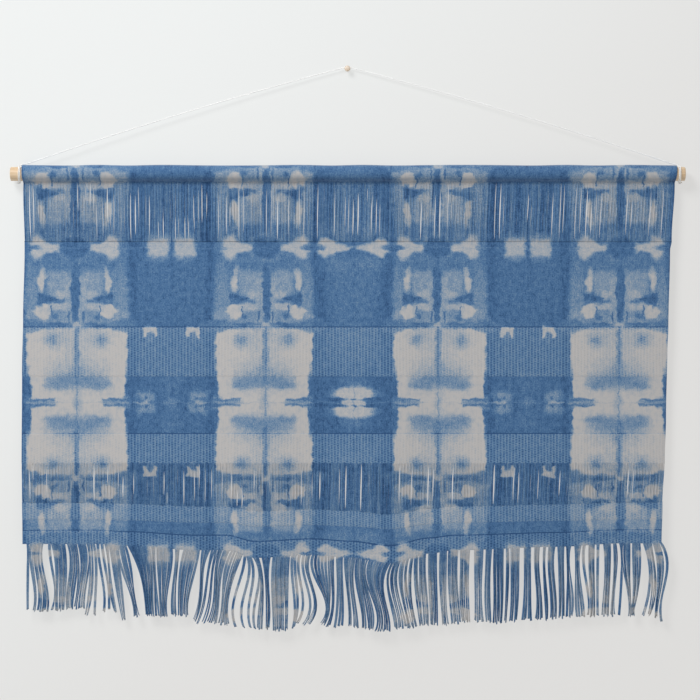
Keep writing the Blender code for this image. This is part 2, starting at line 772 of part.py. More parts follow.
def build_cord():
    """Builds the cord as one tube, and the knot at each of its tails."""
    route = cord_route()
    curve = bpy.data.curves.new("hanging_cord", "CURVE")
    curve.dimensions = "3D"
    curve.bevel_depth = CORD_DIAMETER / 2.0
    curve.bevel_resolution = 2
    curve.use_fill_caps = True
    spline = curve.splines.new("POLY")
    spline.points.add(len(route) - 1)
    for point, place in zip(spline.points, route):
        point.co = (*place, 1.0)
    add_object("hanging_cord", curve, CORD_COTTON)
    for name, tail, inner in (
        ("cord_knot_left", route[0], route[1]),
        ("cord_knot_right", route[-1], route[-2]),
    ):
        onward = (tail - inner) / np.linalg.norm(tail - inner)
        build_knot(name, tail + onward * (KNOT_RADIUS + TOUCH_GAP), onward)


def build_knot(name, centre, onward):
    """Builds a small round overhand knot, a little flat where the tail enters it."""
    shape = bmesh.new()
    bmesh.ops.create_uvsphere(shape, u_segments=10, v_segments=6, radius=KNOT_RADIUS)
    points = [np.array(v.co) + centre for v in shape.verts]
    faces = [[v.index for v in f.verts] for f in shape.faces]
    shape.free()
    for k, point in enumerate(points):
        behind = float(np.dot(point - centre, onward)) + KNOT_RADIUS
        points[k] = point + onward * max(0.0, KNOT_FLAT_SHARE * KNOT_RADIUS - behind)
    add_mesh_object(name, points, faces, CORD_COTTON, math.radians(180))


def main():
    """Builds every piece of the wall hanging."""
    clear_scene()
    build_rod()
    build_cloth()
    build_fringe()
    build_peg()
    build_cord()


main()
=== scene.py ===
"""Looks of a shibori dyed wall cloth: its weave and dye, warp ends, fringe, rod, cord and peg.

The frame: X runs to the right, Z up, and the cloth's face looks along -Y. The wall is the plane
Y = 0, and the origin is the centre of the peg's back. Tables and sizes that end in _mm are in
millimetres, and everything else is in metres.
"""

import logging
import math
from collections import namedtuple
from dataclasses import dataclass
from enum import Enum

import bmesh
import bpy
import numpy as np
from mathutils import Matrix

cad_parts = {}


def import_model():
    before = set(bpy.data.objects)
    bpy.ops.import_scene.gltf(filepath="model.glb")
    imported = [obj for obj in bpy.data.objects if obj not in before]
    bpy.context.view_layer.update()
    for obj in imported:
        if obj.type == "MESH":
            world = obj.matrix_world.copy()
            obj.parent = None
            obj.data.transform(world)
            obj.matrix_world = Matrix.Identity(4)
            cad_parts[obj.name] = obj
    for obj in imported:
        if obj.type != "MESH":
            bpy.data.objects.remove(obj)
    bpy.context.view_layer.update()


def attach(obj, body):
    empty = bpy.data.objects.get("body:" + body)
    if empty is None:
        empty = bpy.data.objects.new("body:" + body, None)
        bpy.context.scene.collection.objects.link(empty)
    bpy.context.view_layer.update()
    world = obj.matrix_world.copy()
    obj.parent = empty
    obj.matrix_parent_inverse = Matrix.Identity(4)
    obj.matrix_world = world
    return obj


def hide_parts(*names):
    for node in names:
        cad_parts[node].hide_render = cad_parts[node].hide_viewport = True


log = logging.getLogger("wall_cloth")

MM = 0.001
FULL_TURN = 2.0 * math.pi
MERGE_DISTANCE = 1e-7
BODY = "root"

# The cloth's two side edges: height and X
Edge = namedtuple("Edge", "z_mm x_mm")
LEFT_EDGE = (
    Edge(-868, -591.4),
    Edge(-716, -593.4),
    Edge(-554, -592.7),
    Edge(-456, -590.6),
    Edge(-334, -587.7),
    Edge(-209, -590.6),
)
RIGHT_EDGE = (
    Edge(-868, 571.7),
    Edge(-798, 573.5),
    Edge(-718, 577.7),
    Edge(-636, 580.4),
    Edge(-514, 582.6),
    Edge(-472, 584.5),
    Edge(-334, 587.4),
    Edge(-314, 590.7),
    Edge(-209, 596.5),
)

# How far the hem sags below its ends, in two slack lobes
Sag = namedtuple("Sag", "x_mm drop_mm")
HEM_SAG = (
    Sag(-451, 0.0),
    Sag(-405, 3.1),
    Sag(-269, 11.5),
    Sag(-221, 11.5),
    Sag(-168, 25.0),
    Sag(-65, 19.9),
    Sag(5, 25.0),
    Sag(76, 34.6),
    Sag(151, 17.7),
    Sag(196, 11.5),
    Sag(380, 5.1),
    Sag(506, -1.1),
)

# Soft folds at the hem, which fade towards the sleeve; a positive swell comes forward
Fold = namedtuple("Fold", "x_mm swell_mm")
UPRIGHT_FOLDS = (
    Fold(-593, 2.0),
    Fold(-491, -1.5),
    Fold(-320, 2.0),
    Fold(-240, -1.0),
    Fold(-155, 4.5),
    Fold(-40, -1.5),
    Fold(76, 5.5),
    Fold(166, -1.5),
    Fold(329, 2.0),
    Fold(489, -1.5),
    Fold(575, 1.5),
)
Crease = namedtuple("Crease", "z_mm swell_mm")
LEVEL_CREASES = (
    Crease(-868, 1.0),
    Crease(-610, -1.4),
    Crease(-470, 0.0),
    Crease(-328, 1.4),
    Crease(-209, 0.0),
)

# The bands below the sleeve, and each foot's share of the hem's sag
Band = namedtuple("Band", "name height_mm foot_sag")
BANDS = (
    Band("open_upper", 106.3, 0.0),
    Band("plain_upper", 156.8, 0.0),
    Band("textured_upper", 90.2, 0.0),
    Band("plain_middle", 103.9, 0.0),
    Band("textured_middle", 54.9, 0.0),
    Band("open_lower", 70.0, 0.6),
    Band("textured_lower", 31.9, 0.5),
    Band("plain_lower", 19.5, 0.8),
    Band("hem", 24.4, 1.0),
)
BAND_NAMES = [band.name for band in BANDS]
CLOTH_TOP = -209.1 * MM
BAND_LEVELS = CLOTH_TOP - np.cumsum([0.0] + [band.height_mm for band in BANDS]) * MM
BAND_SAGS = np.array([0.0] + [band.foot_sag for band in BANDS])
CLOTH_FOOT = float(BAND_LEVELS[-1])

# The rod's axis, which the sleeve and the cord go round
ROD_AXIS_Y = -16.2 * MM
ROD_AXIS_Z = -193.1 * MM

# Gaps between warp ends in the open bands: middle, width, and the share of the band's height
# at which each opens and closes
Gap = namedtuple("Gap", "x_mm width_mm opens closes")
UPPER_GAPS = (
    Gap(-579.0, 2.6, 0.04, 0.98),
    Gap(-571.9, 2.8, 0.04, 0.90),
    Gap(-491.1, 2.0, 0.04, 0.57),
    Gap(-475.6, 1.6, 0.04, 0.40),
    Gap(-469.2, 2.4, 0.04, 0.42),
    Gap(-462.5, 1.6, 0.12, 0.48),
    Gap(-456.5, 1.2, 0.15, 0.95),
    Gap(-445.6, 1.4, 0.15, 0.95),
    Gap(-438.3, 2.8, 0.10, 0.70),
    Gap(-430.9, 1.8, 0.27, 0.75),
    Gap(-424.8, 1.6, 0.20, 0.93),
    Gap(-412.0, 1.8, 0.34, 0.93),
    Gap(-405.6, 1.5, 0.27, 0.93),
    Gap(-394.9, 3.2, 0.20, 0.95),
    Gap(-387.2, 3.0, 0.24, 0.92),
    Gap(-380.7, 1.5, 0.12, 0.88),
    Gap(-368.1, 1.5, 0.25, 0.93),
    Gap(-360.8, 2.2, 0.22, 0.94),
    Gap(-344.4, 2.0, 0.60, 0.98),
    Gap(-336.9, 2.4, 0.56, 0.97),
    Gap(-312.5, 2.2, 0.60, 0.99),
    Gap(-307.0, 1.4, 0.58, 0.95),
    Gap(-295.1, 2.8, 0.60, 0.99),
    Gap(-290.6, 1.8, 0.60, 0.98),
    Gap(-280.6, 1.8, 0.20, 0.87),
    Gap(-270.0, 1.5, 0.10, 0.72),
    Gap(-264.3, 3.0, 0.05, 0.70),
    Gap(-257.4, 2.6, 0.15, 0.60),
    Gap(-235.5, 1.6, 0.22, 0.95),
    Gap(-220.0, 2.8, 0.20, 0.86),
    Gap(-214.0, 2.0, 0.30, 0.80),
    Gap(-197.8, 2.4, 0.05, 0.98),
    Gap(-190.1, 2.0, 0.10, 0.90),
    Gap(-146.6, 2.0, 0.10, 0.95),
    Gap(-139.6, 1.6, 0.05, 0.95),
    Gap(-127.8, 2.8, 0.20, 0.98),
    Gap(-106.5, 1.4, 0.20, 0.95),
    Gap(-88.2, 1.8, 0.05, 0.85),
    Gap(-79.1, 1.8, 0.10, 0.95),
    Gap(-54.5, 2.2, 0.05, 0.98),
    Gap(-23.5, 1.8, 0.15, 0.90),
    Gap(-4.2, 2.2, 0.22, 0.80),
    Gap(3.5, 2.2, 0.22, 0.85),
    Gap(11.7, 3.0, 0.25, 0.90),
    Gap(19.0, 3.2, 0.17, 0.92),
    Gap(35.0, 1.8, 0.10, 0.35),
    Gap(45.4, 2.8, 0.27, 0.90),
    Gap(52.1, 2.6, 0.29, 0.90),
    Gap(58.0, 2.4, 0.30, 0.90),
    Gap(135.1, 2.4, 0.30, 0.98),
    Gap(160.8, 2.4, 0.20, 0.98),
    Gap(168.4, 2.8, 0.14, 0.98),
    Gap(183.2, 2.4, 0.04, 0.85),
    Gap(189.4, 1.8, 0.30, 0.75),
    Gap(270.0, 2.2, 0.02, 0.98),
    Gap(277.0, 3.0, 0.02, 0.98),
    Gap(284.4, 1.8, 0.14, 0.85),
    Gap(330.1, 2.4, 0.20, 0.70),
    Gap(335.6, 1.6, 0.30, 0.80),
    Gap(374.6, 1.8, 0.14, 0.95),
    Gap(387.9, 2.0, 0.02, 0.95),
    Gap(394.9, 2.2, 0.02, 0.90),
    Gap(416.6, 2.4, 0.05, 0.98),
    Gap(425.5, 2.6, 0.14, 0.92),
    Gap(434.6, 3.8, 0.08, 0.98),
    Gap(443.0, 2.0, 0.40, 0.92),
    Gap(452.1, 2.0, 0.10, 0.95),
    Gap(459.8, 2.2, 0.14, 0.98),
    Gap(508.6, 2.4, 0.10, 0.92),
    Gap(516.3, 1.8, 0.30, 0.80),
    Gap(551.7, 1.6, 0.10, 0.95),
    Gap(574.4, 1.8, 0.10, 0.95),
)
LOWER_GAPS = (
    Gap(-578.2, 2.6, 0.14, 0.98),
    Gap(-572.9, 2.0, 0.02, 0.50),
    Gap(-549.4, 2.0, 0.10, 0.90),
    Gap(-461.0, 3.8, 0.02, 0.98),
    Gap(-437.3, 2.4, 0.02, 0.55),
    Gap(-417.3, 2.2, 0.15, 0.66),
    Gap(-409.3, 2.6, 0.35, 0.85),
    Gap(-389.7, 2.0, 0.28, 0.80),
    Gap(-334.1, 2.4, 0.20, 0.78),
    Gap(-327.9, 2.0, 0.65, 0.98),
    Gap(-297.1, 3.0, 0.15, 0.98),
    Gap(-279.6, 2.0, 0.10, 0.90),
    Gap(-269.4, 2.4, 0.02, 0.65),
    Gap(-260.1, 2.0, 0.10, 0.90),
    Gap(-249.0, 2.0, 0.10, 0.90),
    Gap(-229.5, 2.0, 0.10, 0.95),
    Gap(-210.9, 2.0, 0.10, 0.90),
    Gap(-199.6, 2.4, 0.62, 0.98),
    Gap(-191.0, 3.0, 0.50, 0.99),
    Gap(-169.4, 2.6, 0.15, 0.60),
    Gap(-84.6, 2.0, 0.10, 0.90),
    Gap(-64.0, 2.0, 0.25, 0.80),
    Gap(-50.9, 2.8, 0.20, 0.82),
    Gap(-15.3, 2.2, 0.10, 0.90),
    Gap(-3.6, 3.8, 0.05, 0.98),
    Gap(24.8, 4.2, 0.01, 0.99),
    Gap(94.1, 2.8, 0.05, 0.80),
    Gap(116.9, 2.2, 0.10, 0.90),
    Gap(146.0, 3.6, 0.05, 0.98),
    Gap(155.3, 2.2, 0.10, 0.90),
    Gap(191.6, 3.6, 0.05, 0.98),
    Gap(266.9, 4.2, 0.02, 0.98),
    Gap(301.9, 2.6, 0.10, 0.90),
    Gap(311.6, 2.6, 0.20, 0.95),
    Gap(348.8, 2.2, 0.10, 0.90),
    Gap(385.4, 2.8, 0.15, 0.80),
    Gap(511.9, 2.4, 0.10, 0.90),
    Gap(519.4, 2.4, 0.10, 0.95),
)

# The fringe's bunches: number of strands, X of the first and the last of them at the hem, at the
# two levels below and at the tips, and the height of the tips
STRAND_LEVELS = (-933.0 * MM, -977.0 * MM)
Bunch = namedtuple("Bunch", "strands root upper lower tip tip_z")
BUNCHES_MM = (
    Bunch(1, (-582, -582), (-582, -582), (-582, -582), (-582, -582), -987),
    Bunch(2, (-576, -572), (-573, -570), (-571, -568), (-573, -570), -989),
    Bunch(5, (-568, -555), (-565, -551), (-562, -545), (-564, -547), -990),
    Bunch(1, (-543, -543), (-535, -535), (-535, -535), (-538, -538), -989),
    Bunch(6, (-539, -517), (-531, -513), (-532, -516), (-532, -517), -989),
    Bunch(4, (-511, -500), (-508, -496), (-512, -501), (-511, -501), -985),
    Bunch(5, (-496, -475), (-491, -475), (-497, -481), (-498, -481), -985),
    Bunch(2, (-471, -467), (-469, -465), (-474, -470), (-478, -475), -998),
    Bunch(1, (-463, -463), (-458, -458), (-460, -460), (-461, -461), -996),
    Bunch(1, (-455, -455), (-447, -447), (-443, -443), (-444, -444), -993),
    Bunch(1, (-448, -448), (-438, -438), (-434, -434), (-434, -434), -985),
    Bunch(2, (-442, -438), (-434, -431), (-428, -425), (-424, -422), -993),
    Bunch(3, (-434, -424), (-423, -414), (-416, -409), (-410, -405), -1005),
    Bunch(4, (-418, -406), (-404, -392), (-391, -385), (-389, -380), -999),
    Bunch(8, (-400, -362), (-375, -357), (-368, -356), (-366, -354), -997),
    Bunch(3, (-357, -351), (-354, -349), (-354, -345), (-353, -343), -999),
    Bunch(6, (-346, -321), (-344, -325), (-341, -330), (-339, -328), -999),
    Bunch(3, (-313, -307), (-317, -312), (-321, -314), (-320, -313), -997),
    Bunch(6, (-296, -271), (-306, -283), (-307, -291), (-307, -291), -998),
    Bunch(3, (-263, -251), (-268, -264), (-272, -267), (-280, -275), -1006),
    Bunch(2, (-246, -241), (-257, -255), (-264, -261), (-275, -272), -1012),
    Bunch(2, (-238, -234), (-249, -247), (-254, -251), (-264, -261), -1011),
    Bunch(3, (-232, -227), (-242, -239), (-245, -240), (-255, -248), -1011),
    Bunch(3, (-223, -215), (-236, -231), (-238, -235), (-244, -240), -1011),
    Bunch(3, (-209, -200), (-226, -217), (-229, -224), (-234, -227), -1013),
    Bunch(3, (-197, -191), (-214, -209), (-222, -218), (-223, -216), -1014),
    Bunch(1, (-187, -187), (-196, -196), (-208, -208), (-204, -204), -1016),
    Bunch(1, (-183, -183), (-181, -181), (-192, -192), (-189, -189), -1020),
    Bunch(1, (-178, -178), (-172, -172), (-179, -179), (-177, -177), -1020),
    Bunch(1, (-172, -172), (-161, -161), (-169, -169), (-168, -168), -1020),
    Bunch(3, (-168, -163), (-158, -154), (-160, -154), (-163, -157), -1022),
    Bunch(3, (-154, -142), (-149, -144), (-147, -142), (-148, -143), -1022),
    Bunch(8, (-134, -106), (-137, -109), (-136, -109), (-135, -110), -1024),
    Bunch(1, (-100, -100), (-100, -100), (-96, -96), (-101, -101), -1021),
    Bunch(1, (-95, -95), (-94, -94), (-91, -91), (-97, -97), -1018),
    Bunch(1, (-87, -87), (-87, -87), (-81, -81), (-91, -91), -1014),
    Bunch(1, (-79, -79), (-77, -77), (-68, -68), (-80, -80), -1013),
    Bunch(3, (-73, -67), (-71, -67), (-60, -56), (-73, -69), -1012),
    Bunch(6, (-61, -34), (-57, -33), (-39, -33), (-48, -41), -1013),
    Bunch(3, (-30, -25), (-29, -25), (-28, -25), (-39, -33), -1018),
    Bunch(3, (-19, -10), (-18, -10), (-18, -8), (-23, -10), -1018),
    Bunch(3, (-4, 6), (-3, 2), (2, 5), (3, 6), -1016),
    Bunch(3, (10, 15), (5, 10), (9, 14), (12, 19), -1019),
    Bunch(3, (18, 24), (16, 24), (24, 30), (27, 33), -1021),
    Bunch(4, (27, 33), (27, 32), (34, 44), (38, 46), -1023),
    Bunch(9, (37, 78), (34, 65), (49, 70), (50, 76), -1025),
    Bunch(2, (82, 85), (72, 74), (79, 82), (87, 90), -1021),
    Bunch(2, (88, 91), (79, 82), (86, 89), (94, 97), -1021),
    Bunch(2, (94, 97), (86, 89), (93, 97), (101, 106), -1020),
    Bunch(2, (101, 105), (95, 99), (102, 105), (111, 114), -1019),
    Bunch(2, (109, 112), (104, 107), (109, 113), (118, 120), -1019),
    Bunch(2, (117, 120), (112, 115), (115, 118), (124, 126), -1018),
    Bunch(2, (124, 128), (123, 127), (127, 131), (132, 134), -1015),
    Bunch(4, (132, 142), (132, 142), (134, 145), (137, 147), -1015),
    Bunch(5, (149, 162), (149, 162), (151, 163), (152, 164), -1015),
    Bunch(4, (170, 180), (169, 179), (171, 180), (174, 184), -1015),
    Bunch(5, (186, 201), (185, 199), (188, 202), (191, 206), -1012),
    Bunch(5, (206, 222), (206, 220), (206, 221), (211, 222), -1009),
    Bunch(4, (233, 246), (233, 244), (233, 244), (233, 246), -1008),
    Bunch(3, (254, 262), (252, 259), (252, 259), (254, 261), -1009),
    Bunch(6, (268, 284), (267, 283), (267, 283), (266, 281), -1011),
    Bunch(2, (290, 293), (290, 293), (288, 291), (286, 289), -1009),
    Bunch(4, (299, 312), (299, 311), (298, 310), (296, 308), -1008),
    Bunch(4, (323, 333), (323, 333), (322, 334), (319, 335), -1005),
    Bunch(4, (342, 350), (343, 350), (345, 354), (343, 355), -1005),
    Bunch(2, (358, 361), (358, 361), (361, 364), (362, 364), -1005),
    Bunch(4, (368, 378), (368, 377), (371, 381), (370, 380), -1003),
    Bunch(4, (384, 394), (386, 394), (386, 395), (385, 395), -1001),
    Bunch(3, (400, 407), (401, 407), (401, 411), (400, 409), -1000),
    Bunch(4, (415, 426), (416, 424), (417, 430), (419, 432), -1000),
    Bunch(1, (432, 432), (435, 435), (440, 440), (438, 438), -999),
    Bunch(4, (441, 450), (442, 450), (444, 451), (443, 450), -1000),
    Bunch(1, (457, 457), (456, 456), (456, 456), (456, 456), -999),
    Bunch(5, (467, 479), (469, 478), (466, 476), (465, 476), -998),
    Bunch(3, (485, 489), (485, 489), (482, 486), (481, 487), -998),
    Bunch(1, (497, 497), (500, 500), (497, 497), (495, 495), -998),
    Bunch(4, (502, 514), (507, 515), (513, 517), (512, 518), -998),
    Bunch(4, (521, 532), (522, 532), (519, 525), (515, 519), -997),
    Bunch(1, (540, 540), (551, 551), (545, 545), (539, 539), -997),
    Bunch(3, (545, 553), (556, 562), (552, 558), (548, 552), -997),
    Bunch(3, (557, 565), (566, 573), (562, 566), (560, 564), -1001),
    Bunch(1, (570, 570), (580, 580), (571, 571), (572, 572), -1007),
)
Wrap = namedtuple("Wrap", "out_mm angle radius_mm")
CORD_WRAP = (
    Wrap(-14.0, -9, 20.9),
    Wrap(-4.5, -6, 18.1),
    Wrap(-0.2, 0, 16.9),
    Wrap(1.5, 14, 15.8),
    Wrap(2.0, 40, 14.5),
    Wrap(2.1, 75, 14.2),
    Wrap(2.2, 110, 14.2),
    Wrap(2.4, 145, 14.2),
    Wrap(2.6, 180, 14.2),
    Wrap(2.9, 220, 14.2),
    Wrap(3.3, 260, 14.2),
    Wrap(3.8, 300, 14.2),
    Wrap(4.2, 340, 14.2),
    Wrap(4.4, 380, 14.2),
    Wrap(4.5, 420, 14.2),
    Wrap(4.6, 460, 14.2),
    Wrap(4.9, 500, 14.3),
    Wrap(5.6, 530, 14.9),
    Wrap(6.4, 555, 15.9),
)
LEFT_SLEEVE_EDGE = -593.2 * MM
RIGHT_SLEEVE_EDGE = 600.9 * MM

# Where the cloth was folded to and fro before it was dyed: each fold's place, and the place in
# the folded packet that it lies on. Between two folds the packet's places run evenly.
FoldAxis = namedtuple("FoldAxis", "place_mm packet_mm")
UPRIGHT_AXES = (
    FoldAxis(-666, 332),
    FoldAxis(-493, 170),
    FoldAxis(-320, 0),
    FoldAxis(-150, 170),
    FoldAxis(12, 332),
    FoldAxis(166, 170),
    FoldAxis(329, 0),
    FoldAxis(495, 170),
    FoldAxis(661, 332),
)
LEVEL_AXES = (
    FoldAxis(28, 282),
    FoldAxis(328, 0),
    FoldAxis(610, 282),
    FoldAxis(885, 0),
    FoldAxis(1160, 282),
)


class Form(Enum):
    """The two outlines that a blot of dye has on the folded packet."""

    SPOT = "spot"
    PATCH = "patch"


